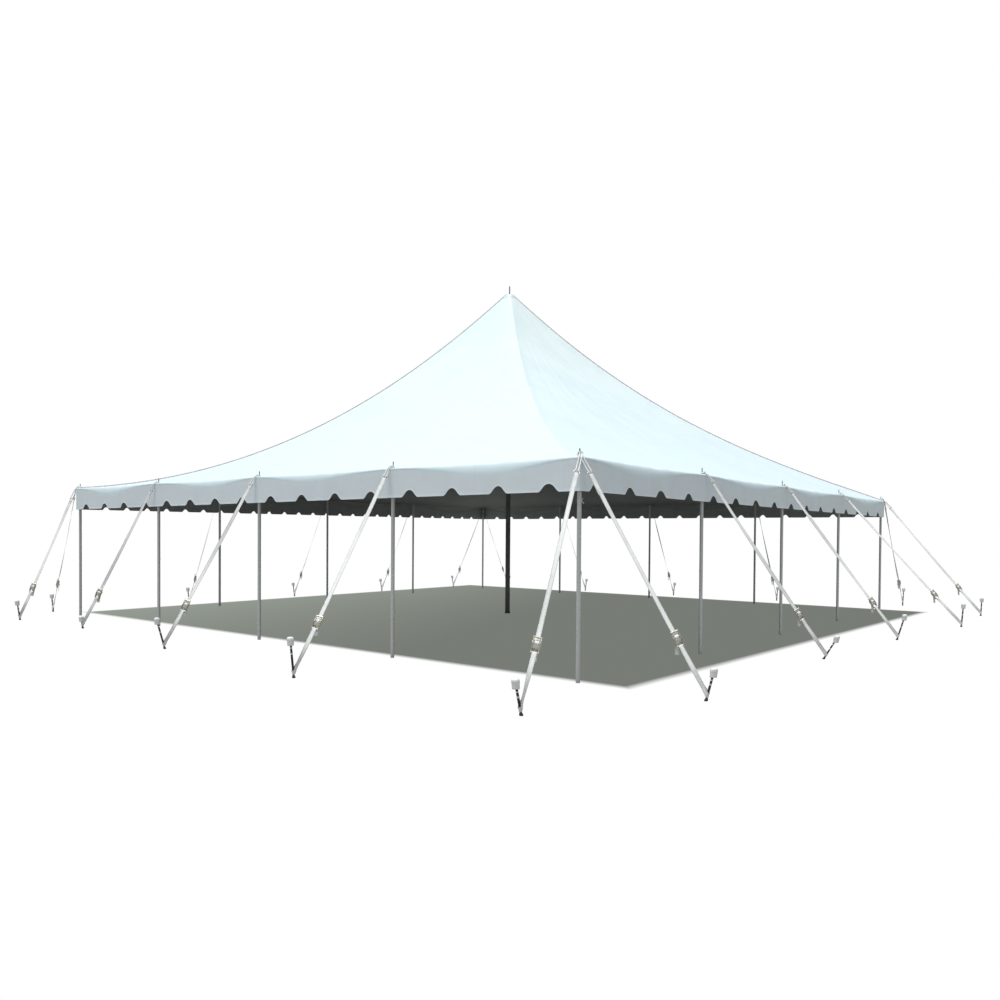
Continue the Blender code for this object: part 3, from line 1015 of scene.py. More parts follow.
# Each finish: its builder, material's name, colour, roughness, metal, and what else it needs
FINISHES = {
    "vinyl": (vinyl_finish, "canopy_vinyl", "vinyl", 0.42, 0.0),
    "valance": (vinyl_finish, "valance_vinyl", "valance", 0.42, 0.0),
    # For each lining, the last number is how much lighter it is painted near the rim, as painted light
    "lining": (lining_finish, "canopy_lining", "lining", 0.65, 0.0, 2.6),
    "inside": (lining_finish, "valance_lining", "inside", 0.65, 0.0, 1.2),
    "binding": (binding_finish, "valance_binding", "valance", 0.6, 0.0),
    "hip": (hip_finish, "hip_tape", "hip", 0.6, 0.0),
    "webbing": (webbing_finish, "white_webbing", "webbing", 0.75, 0.0),
    "tube": (tube_finish, "aluminium_tube", "tube", 0.42, 0.45),
    "mast": (mast_finish, "dark_paint", "mast", 0.45, 0.1),
    "fitting": (plated_finish, "zinc_steel", "zinc", 0.38, 0.6, 0.12),
    "pin": (plated_finish, "galvanised_steel", (0.30, 0.31, 0.32), 0.38, 0.6, 0.1),
    "ring": (plated_finish, "bright_ring", (0.88, 0.88, 0.86), 0.38, 0.6, 0.05),
    "stake": (stake_finish, "stake_paint", "stake", 0.55, 0.3),
    "cap": (cap_finish, "cap_plastic", "cap", 0.38, 0.0),
    "tape": (cap_finish, "white_tape", (0.80, 0.80, 0.78), 0.38, 0.0),
}
made_finishes = {}


def finish(name):
    """A finish by name, made the first time it is asked for."""
    if name not in made_finishes:
        build, title, shade, roughness, metallic, *more = FINISHES[name]
        if isinstance(shade, str):
            shade = chosen_colour(shade)
        made = Finish(title, shade, roughness, metallic)
        build(made, *more)
        made_finishes[name] = made.material
    return made_finishes[name]


# Places of poles and stakes


def pole_along(number):
    return BAY * number - HALF


def stake_node(side, number):
    if 0 < number < BAYS:
        return f"stake_{side}_{number}"
    corner = CORNERS[(SIDES.index(side) + (number == BAYS)) % 4]
    return f"stake_corner_{corner}_{side}"


def stake_line(name):
    """The middle of a stake at the ground and at its top."""
    points = [vertex.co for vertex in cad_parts[name].data.vertices]
    ends = []
    for height in (min(p.z for p in points), max(p.z for p in points)):
        ring = [p for p in points if abs(p.z - height) < 0.0002]
        low = Vector((min(p.x for p in ring), min(p.y for p in ring), height))
        high = Vector((max(p.x for p in ring), max(p.y for p in ring), height))
        ends.append((low + high) / 2)
    return ends


# The pieces


class TENT_OT_canopy(bpy.types.Operator):
    """Lays the canopy from the peak over the eaves"""

    bl_idname = "tent.canopy"
    bl_label = "Canopy"

    def execute(self, context):
        cloth = context.scene.tent_cloth
        sizes = cloth_sizes()
        tree = cloth_tree("Tented roof", sizes, closer_near_pins, finish("vinyl"))
        columns = cloth.columns * BAYS * 4
        roof = grown_cloth("canopy_cloth", tree, columns, cloth.rows, sizes, ("vinyl", "lining"))
        settle(roof, ["roof_canopy"])
        return {"FINISHED"}


class TENT_OT_hip_seams(bpy.types.Operator):
    """Stands a seam along each hip, and sets a patch at the peak and an eyelet at each pin"""

    bl_idname = "tent.hip_seams"
    bl_label = "Hip seams, patch and eyelets"

    def execute(self, context):
        sizes = cloth_sizes()
        shape = Shape()
        start, end, steps = 0.016, 0.772, 100
        lean, raised, wander, tape = 0.35, 0.34, 0.0012, 0.0032
        for corner, share in enumerate(HIP_SEAMS):
            stands = context.scene.tent_cloth.hip_seam * share
            outward = on_side(SIDES[corner], -HALF, 0, 0).normalized()
            slope = UP + outward * lean
            spine = []
            for step in range(steps + 1):
                down = start + (end - start) * step / steps
                aside = outward.cross(slope) * wander * sin(0.9 * step + corner)
                point = Vector(roof_place(sizes, float(corner), down))
                spine.append((point + UP * stands * raised + aside, slope))
            shape.ribbon(spine, stands, tape)
        shape.finish = 1
        self.peak_patch(shape, sizes)
        shape.finish = 2
        washer = (
            (0.0132, 0.0042), (0.034, 0.0042), (0.036, 0.006), (0.036, 0.008),
            (0.033, 0.010), (0.022, 0.011), (0.021, 0.022), (0.0132, 0.023),
        )
        shape.lathe(washer, UP * PEAK, sides=40)
        eyelet = ((0.0092, 0.0), (0.0200, 0.0), (0.0196, 0.0022), (0.0150, 0.0034), (0.0100, 0.0026))
        for side in SIDES:
            for number in range(BAYS):
                shape.lathe(eyelet, on_side(side, pole_along(number), 0, EAVE + 0.0015), sides=20)
        settle(shape.into("hip_seams_and_crown", "hip", "vinyl", "pin"))
        return {"FINISHED"}

    @staticmethod
    def peak_patch(shape, sizes):
        """A second layer of vinyl at the peak, that follows the cloth under it."""
        top = (
            (0.0305, 0.0008), (0.0301, 0.0034), (0.028, 0.004), (0.026, 0.004),
            (0.016, 0.004), (0.006, 0.004),
        )
        under = [(down, 0.0003) for down, _ in reversed(top)]
        rings = [
            [Vector(roof_place(sizes, k / 16, down)) + UP * lift for k in range(64)]
            for down, lift in (*top, *under)
        ]
        around = [k / 64 for k in range(65)]
        shape.loft(rings, around, distances([ring[0] for ring in rings]), closed=True)


class TENT_OT_valances(bpy.types.Operator):
    """Hangs the four notched valances below the eaves"""

    bl_idname = "tent.valances"
    bl_label = "Valances"

    def execute(self, context):
        columns, rows = 616, 18
        finishes = ("valance", "inside", "binding", "inside")
        tree = None
        for index, side in enumerate(SIDES):
            first, pitch, count, width, depth = NOTCHES[index]
            sizes = cloth_sizes(
                side=float(index), first_notch=first, notch_pitch=pitch, notch_count=float(count),
                notch_width=width, notch_depth=depth,
            )
            if tree is None:
                outside, edge = finish("valance"), finish("binding")
                tree = cloth_tree("Notched valance", sizes, valance_place, outside, edge)
            cloth = grown_cloth(f"valance_cloth_{side}", tree, columns, rows, sizes, finishes)
            settle(cloth, [f"valance_{side}"])
        return {"FINISHED"}


def dressed_pole(name, joint, pin_radius, pin_rise, sides):
    """A tube with its foot plug, joint and shoulder plug, and the pin on top of it."""
    low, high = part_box(name)
    middle = Vector(((low.x + high.x) / 2, (low.y + high.y) / 2, 0))
    radius = (high.x - low.x) / 2 / FLAT_SIDES
    tip = high.z
    shoulder = tip - pin_rise - PLUG_HEIGHT
    tube = (
        (0.72, 0.0), (0.93, 0.001), (0.97, 0.004), (0.97, 0.018), (1, 0.0185), (1, 0.025),
        (1, joint - 0.004), (0.985, joint - 0.0025), (0.985, joint - 0.0005), (1.012, joint),
        (1.012, joint + 0.003), (1, joint + 0.005), (1, shoulder - 0.012),
        (1, shoulder - 0.0035), (0.975, shoulder - 0.001), (0.90, shoulder),
    )
    pin = (
        (1.02, shoulder - 0.004), (1, shoulder + 0.0005), (1, tip - 0.006), (0.92, tip - 0.003),
        (0.6, tip - 0.0008), (0.2, tip),
    )
    shape = Shape()
    shape.lathe([(radius * wide, height) for wide, height in tube], middle, sides=sides)
    shape.finish = 1
    shape.lathe([(pin_radius * wide, height) for wide, height in pin], middle, sides=20)
    return shape, middle, radius


def snap_button(shape, middle, radius, height, turn):
    """A sprung button that locks a pole's two lengths together, in its hole."""
    out = level_way(turn)
    button = ((0.0062, 0.0), (0.0062, 0.0026), (0.0046, 0.0029), (0.0044, 0.0052), (0.0028, 0.0066))
    shape.lathe(button, middle + UP * height + out * (radius - 0.002), out, 12)


def pole_tie(shape, middle, radius, height, turn):
    """A cord knotted round a pole, with two short ends."""
    cord = 0.003
    ring = [
        middle + level_way(a) * (radius + cord) + UP * (height + 0.004 * sin(a)) for a in turns(28)
    ]
    shape.tube(ring, cord, 8, closed=True)
    out = level_way(turn)
    side = Vector((-out.y, out.x, 0))
    knot = middle + out * (radius + 2 * cord) + UP * height
    bulge = ((0.002, -0.008), (0.0068, -0.005), (0.0076, 0), (0.0062, 0.005), (0.002, 0.008))
    shape.lathe(bulge, knot, side, 12)
    for lean, drop, spread in ((0.5, 0.028, 0.9), (1.0, -0.034, 1.1)):
        bend = knot + out * 0.014 + side * 0.006 * lean + UP * drop * 0.4
        end = knot + out * 0.026 * spread + side * 0.014 * lean + UP * drop
        line = rounded_line((knot, bend, end))
        shape.tube(line, [cord] * (len(line) - 1) + [0.0022], 8)


class TENT_OT_side_poles(bpy.types.Operator):
    """Turns the sixteen side poles with their joints, snap buttons and pins"""

    bl_idname = "tent.side_poles"
    bl_label = "Side poles"

    def execute(self, context):
        names = []
        for index, side in enumerate(SIDES):
            names.append(f"pole_corner_{CORNERS[index]}")
            names += [f"pole_{side}_{number}" for number in range(1, BAYS)]
        ties = {"pole_corner_se": (2.055, -0.25), "pole_south_1": (2.15, 2.9)}
        joints = {"pole_east_3": 1.76}
        for order, name in enumerate(names):
            joint = joints.get(name, JOINT_HEIGHT + 0.012 * sin(2.4 * order))
            shape, middle, radius = dressed_pole(name, joint, PIN_RADIUS, PIN_RISE, 32)
            snap_button(shape, middle, radius, joint + 0.045, 2.1 * order - 0.9)
            if name in ties:
                shape.finish = 2
                pole_tie(shape, middle, radius, *ties[name])
            settle(shape.into(f"{name}_tube", "tube", "pin", "webbing"), [name])
        return {"FINISHED"}


class TENT_OT_centre_pole(bpy.types.Operator):
    """Turns the centre pole"""

    bl_idname = "tent.centre_pole"
    bl_label = "Centre pole"

    def execute(self, context):
        name = "centre_pole"
        joint, sides = CENTRE_JOINT_HEIGHT, 48
        shape, middle, radius = dressed_pole(name, joint, CENTRE_PIN_RADIUS, CENTRE_PIN_RISE, sides)
        for turn in (0.4, 0.4 + pi):
            snap_button(shape, middle, radius, joint + 0.07, turn)
        shape.finish = 0
        collar = (
            (0.0002, 0.0), (0.016, 0.0), (0.016, 0.006), (0.004, 0.010), (0.004, 0.045),
            (0.0002, 0.047),
        )
        shape.lathe([(radius + wide, height) for wide, height in collar], middle, sides=sides)
        settle(shape.into(f"{name}_tube", "mast", "pin"), [name])
        return {"FINISHED"}


class Leg:
    """One strap's line: its directions, its places along the run, and its stake."""

    def __init__(self, side, number, level):
        sizes = bpy.context.scene.tent_straps
        at_corner = number in (0, BAYS)
        along = pole_along(number)
        aside, out = CORNER_FOLD if at_corner else (0, FOLD_OUT)
        aside = copysign(aside, along)
        foot, top = stake_line(stake_node(side, number))
        eaves = on_side(side, 0, 0, 0)
        self.level = level
        self.pin = on_side(side, along, 0, EAVE)
        self.fold = on_side(side, along + aside, out, EAVE - FOLD_DROP)
        self.over = (on_side(side, aside, out, 0) - eaves).normalized()
        self.stake_up = (top - foot).normalized()
        self.stake = foot + (top - foot) * (LOOP_HEIGHT / top.z)
        end = self.stake - (on_side(side, 0, 1, 0) - eaves) * LOOP_INSET
        end.z = LOOP_HEIGHT
        run = end - self.fold
        self.down = run.normalized()
        self.sling = sizes.corner_sling if at_corner else sizes.sling
        self.bar = self.sling + RING_BAR
        facing = Vector(STRAP_FACINGS[side])
        self.face = (facing - self.down * facing.dot(self.down)).normalized()
        self.across = self.down.cross(self.face)
        self.ratchet = end - run * RATCHET_PLACE
        self.ratchet_at = run.length * (1 - RATCHET_PLACE)

    def at(self, distance, sideways=0.0, lifted=0.0):
        return self.fold + self.down * distance + self.across * sideways + self.face * lifted

    def ratchet_frame(self):
        """Up the strap, across it and away from it, from the ratchet's middle."""
        up = -self.down
        turn = Matrix((up, self.face.cross(up), self.face)).transposed().to_4x4()
        return Matrix.Translation(self.ratchet) @ turn @ Matrix.Diagonal((*RATCHET_SCALE, 1))


def all_legs():
    """Each strap's node with its legs. At a corner the second one lies on the first."""
    for index, side in enumerate(SIDES):
        pair = (Leg(SIDES[index - 1], BAYS, 0), Leg(side, 0, 1))
        yield f"straps_corner_{CORNERS[index]}", pair
        for number in range(1, BAYS):
            yield f"strap_{side}_{number}", (Leg(side, number, 0),)


def sling(shape, leg, sizes):
    """A cord of webbing round the pin and down to the ring, in two strands."""
    high = 0.010 + 0.0165 * leg.level
    radius = 0.0085 + sizes.strand
    bar = leg.bar - 2 * RING_DEPTH
    round_bar = RING_ROD + sizes.strand
    level = Vector((-leg.over.y, leg.over.x, 0))
    if level.dot(leg.across) < 0:
        level = -level

    def strand(sign):
        beside = sign * 0.0185
        return [
            leg.at(bar - 0.008, beside, -round_bar),
            leg.at(bar + 0.009, beside, -round_bar * 0.7),
            leg.at(bar + round_bar, beside, 0.001),
            leg.at(bar + 0.006, beside, round_bar * 0.85),
            leg.at(leg.sling * 0.60, sign * (0.0165 + 0.002 * leg.level), 0.003),
            leg.fold + leg.down * 0.016 + (level + leg.across) * sign * 0.0075 + leg.over * 0.004,
            leg.pin + leg.over * 0.045 + level * sign * 0.0155 + UP * (high + 0.001),
            leg.pin + leg.over * 0.010 + level * sign * radius + UP * high,
        ]

    back = [
        leg.pin - leg.over * radius * cos(a) + level * radius * sin(a) + UP * high
        for a in (-0.9, 0.0, 0.9)
    ]
    line = rounded_line([*strand(-1), *back, *reversed(strand(1))], 7)
    shape.tube(line, sizes.strand, 10)
    knot = leg.pin + leg.over * 0.040 + UP * (high + 0.002)
    up = (leg.over * 0.3 + UP).normalized()
    wrap = [knot + level * 0.027 * cos(a) + up * 0.0125 * sin(a) for a in turns(20)]
    shape.tube(wrap, sizes.strand * 0.8, 8, closed=True)


def ring(shape, leg):
    """The link between sling and strap: a rod bent to a long ring."""
    outline = []
    for a in turns(32):
        wide = copysign(abs(cos(a)) ** 0.6, cos(a)) * RING_WIDTH
        deep = copysign(abs(sin(a)) ** 0.8, sin(a)) * RING_DEPTH
        outline.append(leg.at(leg.bar - RING_DEPTH + deep, wide, 0.0))
    shape.tube(outline, RING_ROD, 10, closed=True)


def strap_webbing(shape, leg, sizes, order):
    """The strap from its sewn end at the ring, turned a little to and fro, to the ratchet."""
    thick = sizes.thickness
    gap = RING_ROD + thick / 2 + LAYER_GAP
    closing, rise, sag, calm = 0.62, 0.004, 0.006, 0.3
    back_end = leg.bar + sizes.sewn
    back_steps, bend_steps, steps = 12, 8, 110
    spine = []
    for step in range(back_steps, -1, -1):
        lifted = -gap * (1 - closing * eased(step / 3))
        along = leg.bar + sizes.sewn * step / back_steps
        spine.append((leg.at(along, 0.005 * eased(step / back_steps), lifted), leg.across))
    for step in range(1, bend_steps):
        a = pi * step / bend_steps
        spine.append((leg.at(leg.bar - gap * sin(a), 0, -gap * cos(a)), leg.across))
    stop = leg.ratchet_at - STRAP_STOP
    for step in range(steps + 1):
        along = leg.bar + (stop - leg.bar) * step / steps
        free = eased((along - back_end) / calm) * eased((stop - along) / calm)
        angle = radians(sizes.twist) * free * sin(2.2 * along + 1.9 * order)
        across = leg.across * cos(angle) + leg.face * sin(angle)
        close_up = gap * (1 - closing * eased((along - leg.bar) / 0.06))
        lifted = close_up * (1 - eased((along - back_end) / 0.15))
        lifted += rise * eased((along - stop + calm) / calm) - sag * sin(pi * step / steps)
        spine.append((leg.at(along, 0, lifted), across))
    shape.ribbon(spine, sizes.width, thick)


def ratchet_roll(shape, leg, sizes):
    """The webbing wound on the ratchet's axle, and its loose tail."""
    shape.place = leg.ratchet_frame()
    width = sizes.width * 0.97
    steps, in_a_turn, first, grown = 45, 18, 0.0085, 0.0052
    roll = []
    for k in range(steps + 1):
        a = tau * k / in_a_turn + 0.6
        radius = first + grown * k / steps
        roll.append(((AXLE[0] + radius * cos(a), 0, AXLE[1] + radius * sin(a)), CROSSWISE))
    shape.ribbon(roll, width / RATCHET_SCALE[1], sizes.thickness * 0.5)
    shape.place = Matrix.Identity(4)
    start = leg.ratchet + leg.down * 0.004 - leg.face * 0.016
    # Each point of the tail: how far it hangs, and lies out, across and down the strap
    tail = (
        (0, 0, 0, 0), (0, -0.016, 0, 0.010), (0.035, -0.012, 0, 0.018), (0.080, -0.002, 0.004, 0.016),
        (sizes.tail, 0.004, 0.010, 0.022),
    )
    hang = rounded_line(
        [start - UP * drop + leg.face * out + leg.across * aside + leg.down * down
         for drop, out, aside, down in tail]
    )
    shape.ribbon([(point, leg.across) for point in hang], width, sizes.thickness)


def stake_webbing(shape, leg, sizes):
    """The doubled lower strap: round the ratchet's bolt, down, and once round the stake."""
    thick = sizes.thickness
    close = thick / 2 + LAYER_GAP
    bolt = leg.ratchet - leg.down * BOLT[0] * RATCHET_SCALE[0]
    bolt_radius = BOLT_RADIUS * RATCHET_SCALE[2] + thick / 2
    wrap_radius = STAKE_RADIUS + thick / 2 + STAKE_GAP
    stake_across = leg.stake_up if leg.stake_up.dot(leg.across) > 0 else -leg.stake_up
    down = (leg.stake - bolt).normalized()

    def layer(sign, share):
        """A point of one layer, from the bolt at 0 to the stake's side at 1."""
        turn = eased(share * 1.2)
        across = (leg.across * (1 - turn) + stake_across * turn).normalized()
        apart = close + (bolt_radius - close) * (1 - eased(share * 6))
        apart += (wrap_radius - close) * eased((share - 0.82) / 0.18)
        return bolt.lerp(leg.stake, share) + down.cross(across).normalized() * sign * apart, across

    shares = [k / 24 for k in range(25)]
    beside = down.cross(stake_across).normalized()
    beyond = stake_across.cross(beside).normalized()
    if beyond.dot(down) < 0:
        beyond = -beyond
    spine = [layer(1, share) for share in shares]
    for k in range(1, 12):
        a = pi * k / 12
        round_stake = beside * cos(a) + beyond * sin(a)
        spine.append((leg.stake + round_stake * wrap_radius, stake_across))
    spine += [layer(-1, share) for share in reversed(shares)]
    face = down.cross(leg.across).normalized()
    for k in range(1, 8):
        a = pi * k / 8
        spine.append((bolt - (face * cos(a) + down * sin(a)) * bolt_radius, leg.across))
    shape.ribbon(spine, sizes.width, thick)


def rod(shape, place, radius, half, sides=16):
    """A bolt across the ratchet, with a head at each end."""
    end = ((1, half - 0.0003), (1.4, half), (1.35, half + 0.0025), (0.6, half + 0.003))
    profile = [(radius * wide, -out) for wide, out in reversed(end)]
    profile += [(radius * wide, out) for wide, out in end]
    shape.lathe(profile, (place[0], 0, place[1]), CROSSWISE, sides)


def gear(teeth, inner, outer):
    """The outline of a ratchet wheel with raked teeth."""
    points = []
    for tooth in range(teeth):
        for radius, share in ((inner, 0.0), (outer, 0.62), (outer, 0.74), (inner, 0.80)):
            angle = tau * (tooth + share) / teeth
            points.append((radius * cos(angle), radius * sin(angle)))
    return points


# The ratchet's outlines and the middles of its rods, up the strap and away from it
FRAME_SIDE = (
    (-0.049, -0.006), (-0.046, -0.011), (-0.036, -0.012), (-0.010, -0.013), (0.016, -0.014),
    (0.030, -0.010), (0.034, 0.002), (0.030, 0.014), (0.016, 0.019), (0.000, 0.017),
    (-0.014, 0.009), (-0.036, 0.007), (-0.047, 0.005),
)
HANDLE_SIDE = (
    (-0.034, 0.008), (-0.030, 0.015), (-0.006, 0.020), (0.014, 0.021), (0.030, 0.017),
    (0.044, 0.017), (0.049, 0.013), (0.047, 0.009), (0.030, 0.006), (0.022, -0.002),
    (0.014, -0.004), (0.004, 0.001), (-0.010, 0.008),
)
BASE = ((-0.044, -0.0125), (-0.044, -0.0105), (0.004, -0.0115), (0.004, -0.0135))
BACK_BAR = ((-0.020, -0.0140), (-0.020, -0.0118), (-0.006, -0.0120), (-0.006, -0.0142))
PAWL = ((-0.022, 0.0055), (-0.020, 0.0085), (-0.002, 0.0150), (0.000, 0.0130), (-0.016, 0.0052))
RELEASE = ((0.028, 0.0125), (0.028, 0.0150), (0.040, 0.0150), (0.040, 0.0125))
SPRING = (-0.010, 0.0085)


def ratchet(shape, leg):
    """A ratchet in its closed place: frame, handle, wheels, pawls, axle and bolt."""
    shape.place = leg.ratchet_frame()
    for sign in (-1, 1):
        shape.plate(FRAME_SIDE, 0.0024, place=(0, sign * 0.0295, 0))
        shape.plate(HANDLE_SIDE, 0.0020, place=(0, sign * 0.0325, 0))
    for sign in (-1, 1):
        shape.plate(BASE, 0.006, 0.0004, (0, sign * 0.0275, 0))
    shape.plate(BACK_BAR, 0.056, 0.0004)
    shape.plate(PAWL, 0.052, 0.0005)
    shape.plate(RELEASE, 0.050, 0.0005)
    rod(shape, BOLT, BOLT_RADIUS, 0.0305)
    rod(shape, AXLE, 0.0075, 0.0345, 20)
    rod(shape, HANDLE_BAR, 0.0055, 0.0330)
    for sign in (-1, 1):
        place = (AXLE[0], sign * 0.0265, AXLE[1])
        shape.plate(gear(13, 0.0125, 0.0165), 0.0026, 0.0004, place)
    coil, half, points = 0.0024, 0.018, 40
    spring = []
    for k in range(points):
        a = tau * k / 8
        along = 2 * half * k / (points - 1) - half
        spring.append((SPRING[0] + coil * cos(a), along, SPRING[1] + coil * sin(a)))
    shape.tube(spring, 0.0006, 6)
    shape.place = Matrix.Identity(4)


def stitch_tree():
    """A geometry tree that sews stitches along the edges of a mesh."""
    sizes = [(label, NUMBER) for label in ("Pitch", "Stitch length", "Thread radius")]
    mesh = ("Geometry", GEOMETRY)
    tree, given, finished = new_tree("Stitches", "GeometryNodeTree", [mesh, *sizes], [mesh])
    tree.is_modifier = True
    seam = output(tree, "GeometryNodeMeshToCurve", {0: given[0]})
    marks = {0: seam, "Length": given[1]}
    points = node(tree, "GeometryNodeCurveToPoints", marks, mode="LENGTH").outputs
    stitch = {"Vertices": 6, "Radius": given[3], "Depth": given[2]}
    thread = output(tree, "GeometryNodeMeshCylinder", stitch)
    laid = {0: points["Points"], "Instance": thread, "Rotation": points["Rotation"]}
    sewn = output(tree, "GeometryNodeInstanceOnPoints", laid)
    real = output(tree, "GeometryNodeRealizeInstances", {0: sewn})
    dressed = {0: real, "Material": finish("webbing")}
    tree.links.new(output(tree, "GeometryNodeSetMaterial", dressed), finished[0])
    return tree


def seam_lines(leg, sizes):
    """The stitched boxes, each with a cross, that close the strap's doubled end."""
    lifted = RING_ROD * 0.4 + sizes.thickness + LAYER_GAP
    seams = []
    long, wide = 0.060, 0.019
    for start in (leg.bar + 0.045, leg.bar + sizes.sewn - 0.075):
        end = start + long
        places = ((start, -wide), (start, wide), (end, wide), (end, -wide))
        corners = [leg.at(along, aside, lifted) for along, aside in places]
        seams += [(corners[i], corners[(i + 1) % 4]) for i in range(4)]
        seams += [(corners[0], corners[2]), (corners[1], corners[3])]
    return seams


class TENT_OT_straps(bpy.types.Operator):
    """Runs the slings and the webbing of every strap from its pin to its stake"""

    bl_idname = "tent.straps"
    bl_label = "Straps"

    def execute(self, context):
        sizes = context.scene.tent_straps
        seams = []
        order = 0
        for name, legs in all_legs():
            webbing = Shape()
            for leg in legs:
                sling(webbing, leg, sizes)
                strap_webbing(webbing, leg, sizes, order)
                ratchet_roll(webbing, leg, sizes)
                stake_webbing(webbing, leg, sizes)
                seams += seam_lines(leg, sizes)
                order += 1
            settle(webbing.into(f"{name}_webbing", "webbing"), [name])
        mesh = bpy.data.meshes.new("strap_stitches")
        points = [point for seam in seams for point in seam]
        mesh.from_pydata(points, [(i, i + 1) for i in range(0, len(points), 2)], [])
        stitches = new_object("strap_stitches", mesh)
        pitch, stitch, thread = 0.0065, 0.0045, 0.0007
        run_tree(stitches, stitch_tree(), (pitch, stitch, thread))
        settle(stitches)
        return {"FINISHED"}


class TENT_OT_ratchets(bpy.types.Operator):
    """Builds the ratchet and the ring of every strap"""

    bl_idname = "tent.ratchets"
    bl_label = "Ratchets and rings"

    def execute(self, context):
        for name, legs in all_legs():
            metal = Shape()
            for leg in legs:
                metal.finish = 0
                ratchet(metal, leg)
                metal.finish = 1
                ring(metal, leg)
            piece = metal.into(f"{name}_ratchet", "fitting", "ring", smooth_angle=35)
            settle(piece, [name])
        return {"FINISHED"}


class TENT_OT_stakes(bpy.types.Operator):
    """Drives the stakes and sets their caps"""

    bl_idname = "tent.stakes"
    bl_label = "Stakes and caps"

    def execute(self, context):
        names = [stake_node(side, number) for side in SIDES for number in range(BAYS + 1)]
        for order, name in enumerate(names):
            foot, top = stake_line(name)
            shape = Shape()
            self.rod(shape, foot, top, order)
            settle(shape.into(f"{name}_rod", "stake", "tape"), [name])
            shape = Shape()
            self.cap(shape, foot, top, order)
            settle(shape.into(f"{name}_cap", "cap"), [name])
        return {"FINISHED"}

    @staticmethod
    def rod(shape, foot, top, order):
        """A rod with a collar near the ground, and bands of tape below the cap."""
        scale = (top - foot).length / top.z

        def turned(profile):
            rings = [(STAKE_RADIUS + wide, height * scale) for wide, height in profile]
            shape.lathe(rings, foot, (top - foot).normalized(), 24, level=True)

        tall = top.z - CAP_HEIGHT * 0.4
        turned(
            (
                (0, 0.0), (0.006, 0.001), (0.0068, 0.006), (0.006, 0.020), (0.0015, 0.027),
                (0, 0.029), (0, 0.1), (0, tall * 0.5), (0, tall),
            )
        )
        shape.finish = 1
        for drop, high in ((0.022, 0.016), (0.085 + 0.02 * sin(order), 0.020)):
            end = top.z - CAP_HEIGHT - drop
            low = end - high
            if low >= LOWEST_TAPE:
                turned(((0.0001, low), (0.0007, low + 0.0005), (0.0007, end - 0.0005), (0.0001, end)))

    @staticmethod
    def cap(shape, foot, top, order):
        """A moulded cap: a skirt with a worn rim, a waist and a domed top."""
        inner = (STAKE_RADIUS + 0.0008) / CAP_RADIUS
        profile = [
            (inner, 0.060), (inner, 0.004), (0.76, 0.001), (0.87, 0.0), (0.915, 0.003),
            (0.92, 0.012), (0.935, 0.030), (0.95, 0.050), (0.985, 0.057), (1.0, 0.063),
            (1.0, 0.072), (0.975, 0.080), (0.91, 0.0875), (0.81, 0.0930), (0.66, 0.0968),
            (0.46, 0.0990), (0.2, 0.0999),
        ]
        profile = [(CAP_RADIUS * wide, height) for wide, height in profile]
        sides = 36
        rings = []
        for number, (wide, height) in enumerate(profile):
            leaning = top.z - CAP_HEIGHT / 2 + (height - CAP_HEIGHT / 2) * 0.35
            centre = foot + (top - foot) * (leaning / top.z)
            centre.z = top.z - CAP_HEIGHT + height
            worn = {2: 1.0, 3: 1.0, 4: 1.0, 5: 0.4}.get(number, 0.0)
            points = []
            for a in turns(sides):
                wave = sin(3 * a + order) + 0.6 * sin(7 * a + 2.3 * order)
                out = wide * (1.0 + 0.012 * wave * (worn > 0))
                points.append(centre + level_way(a) * out + UP * 0.0016 * wave * worn)
            rings.append(points)
        shape.loft(rings, way_round(CAP_RADIUS, sides), distances(profile))


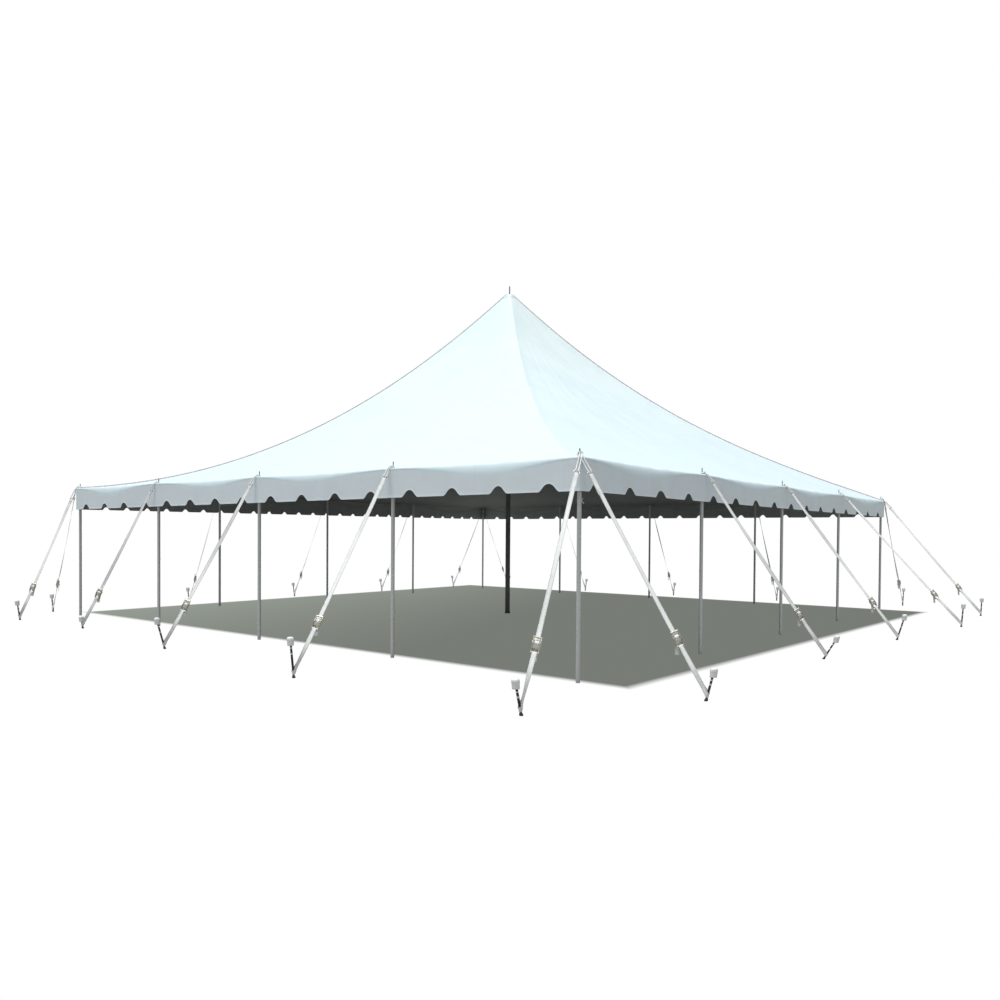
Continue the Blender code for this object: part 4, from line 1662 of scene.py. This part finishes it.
class TENT_OT_stage(bpy.types.Operator):
    """Sets the floor, the light and the camera"""

    bl_idname = "tent.stage"
    bl_label = "Stage"

    def execute(self, context):
        light = context.scene.tent_light
        shape = Shape()
        outline = [(x * FLOOR_REACH, y * FLOOR_REACH) for x, y in ((-1, -1), (1, -1), (1, 1), (-1, 1))]
        rings = [[(x, y, z) for x, y in outline] for z in (-0.02, 0.0)]
        shape.loft(rings, range(5), (0, 1))
        floor = shape.into("floor")
        floor.data.materials.append(self.floor_finish(light))

        world = bpy.data.worlds.new("white_sky")
        context.scene.world = world
        world.use_nodes = True
        tree = world.node_tree
        tree.nodes.clear()
        seen = output(tree, "ShaderNodeBackground", {"Color": WHITE, "Strength": 1.0})
        lighting = output(tree, "ShaderNodeBackground", {"Color": SKY_COLOUR, "Strength": light.sky})
        node(tree, "ShaderNodeOutputWorld", {0: seen_by_camera(tree, lighting, seen)})

        sun = bpy.data.lights.new("sun", "SUN")
        sun.energy = light.sun
        sun.angle = radians(SUN_WIDTH)
        sun.color = SUN_COLOUR
        turn = Vector(SUN_HEADING).to_track_quat("-Z", "Y").to_euler()
        new_object("sun", sun).rotation_euler = turn

        self.camera(context)
        context.scene.view_settings.view_transform = "Standard"
        return {"FINISHED"}

    @staticmethod
    def floor_finish(light):
        """A white floor with the tent's soft shade painted on it for the camera, and its own tone for the
        light it returns.
        """
        made = Finish("floor", tuple(light.ground), 0.9)
        made.set("Specular IOR Level", 0.0)
        made.paint(((made.patches(0.6, 0.4, 0.3) * 0.2, 0.9),))
        x, y, _ = made.spot()
        inside = 1.0
        for start, end in zip(SHADE_CORNERS, (*SHADE_CORNERS[1:], SHADE_CORNERS[0])):
            ahead = (Vector(end) - Vector(start)).normalized()
            depth = (y - start[1]) * ahead.x - (x - start[0]) * ahead.y
            inside = least(inside, share_between(depth, -SHADE_BLUR, SHADE_BLUR))
        # The painted shade grows lighter towards the west and south-west
        west = share_between(x + y * 0.4, 0.5, -12.0)
        shade = blended(made.tree, west, (*light.shade, 1.0), (*scaled(light.shade, 1.85), 1.0))
        drawn = blended(made.tree, inside, WHITE, shade)
        seen = output(made.tree, "ShaderNodeEmission", {"Color": drawn, "Strength": 1.0})
        both = seen_by_camera(made.tree, made.shader.outputs[0], seen)
        made.tree.links.new(both, made.tree.nodes["Material Output"].inputs["Surface"])
        return made.material

    @staticmethod
    def camera(context):
        """Puts the camera where the reference view was taken."""
        yaw, pitch, roll = CAMERA_TURNS
        ahead = Vector((sin(yaw) * cos(pitch), cos(yaw) * cos(pitch), sin(pitch)))
        level_right = level_way(-yaw)
        level_up = level_right.cross(ahead)
        right = level_right * cos(roll) + level_up * sin(roll)
        up = level_up * cos(roll) - level_right * sin(roll)
        turn = Matrix((right, up, -ahead)).transposed().to_4x4()
        camera = bpy.data.cameras.new("camera")
        camera.sensor_width = 36.0
        camera.lens = CAMERA_LENS
        camera.shift_x, camera.shift_y = CAMERA_SHIFT
        camera.clip_end = 500
        context.scene.camera = new_object("camera", camera)
        context.scene.camera.matrix_world = Matrix.Translation(CAMERA_PLACE) @ turn


OPERATORS = (
    TENT_OT_stage,
    TENT_OT_side_poles,
    TENT_OT_centre_pole,
    TENT_OT_canopy,
    TENT_OT_hip_seams,
    TENT_OT_valances,
    TENT_OT_straps,
    TENT_OT_ratchets,
    TENT_OT_stakes,
)
SETTINGS = {
    "tent_cloth": ClothSizes,
    "tent_straps": StrapSizes,
    "tent_colours": TentColours,
    "tent_light": StageLight,
}


class TENT_PT_sidebar(bpy.types.Panel):
    """Lists the tent's pieces and their settings"""

    bl_idname = "TENT_PT_sidebar"
    bl_label = "Pole tent"
    bl_space_type = "VIEW_3D"
    bl_region_type = "UI"
    bl_category = "Pole tent"

    def draw(self, context):
        for operator in OPERATORS:
            self.layout.operator(operator.bl_idname)
        for name in SETTINGS:
            settings = getattr(context.scene, name)
            box = self.layout.box()
            for key in settings.__annotations__:
                box.prop(settings, key)


CLASSES = (*SETTINGS.values(), *OPERATORS, TENT_PT_sidebar)


def register():
    for each in CLASSES:
        bpy.utils.register_class(each)
    for name, group in SETTINGS.items():
        setattr(bpy.types.Scene, name, PointerProperty(type=group))


def unregister():
    for name in SETTINGS:
        delattr(bpy.types.Scene, name)
    for each in reversed(CLASSES):
        bpy.utils.unregister_class(each)


def main():
    register()
    for operator in OPERATORS:
        group, name = operator.bl_idname.split(".")
        getattr(getattr(bpy.ops, group), name)()


if __name__ == "__main__":
    main()
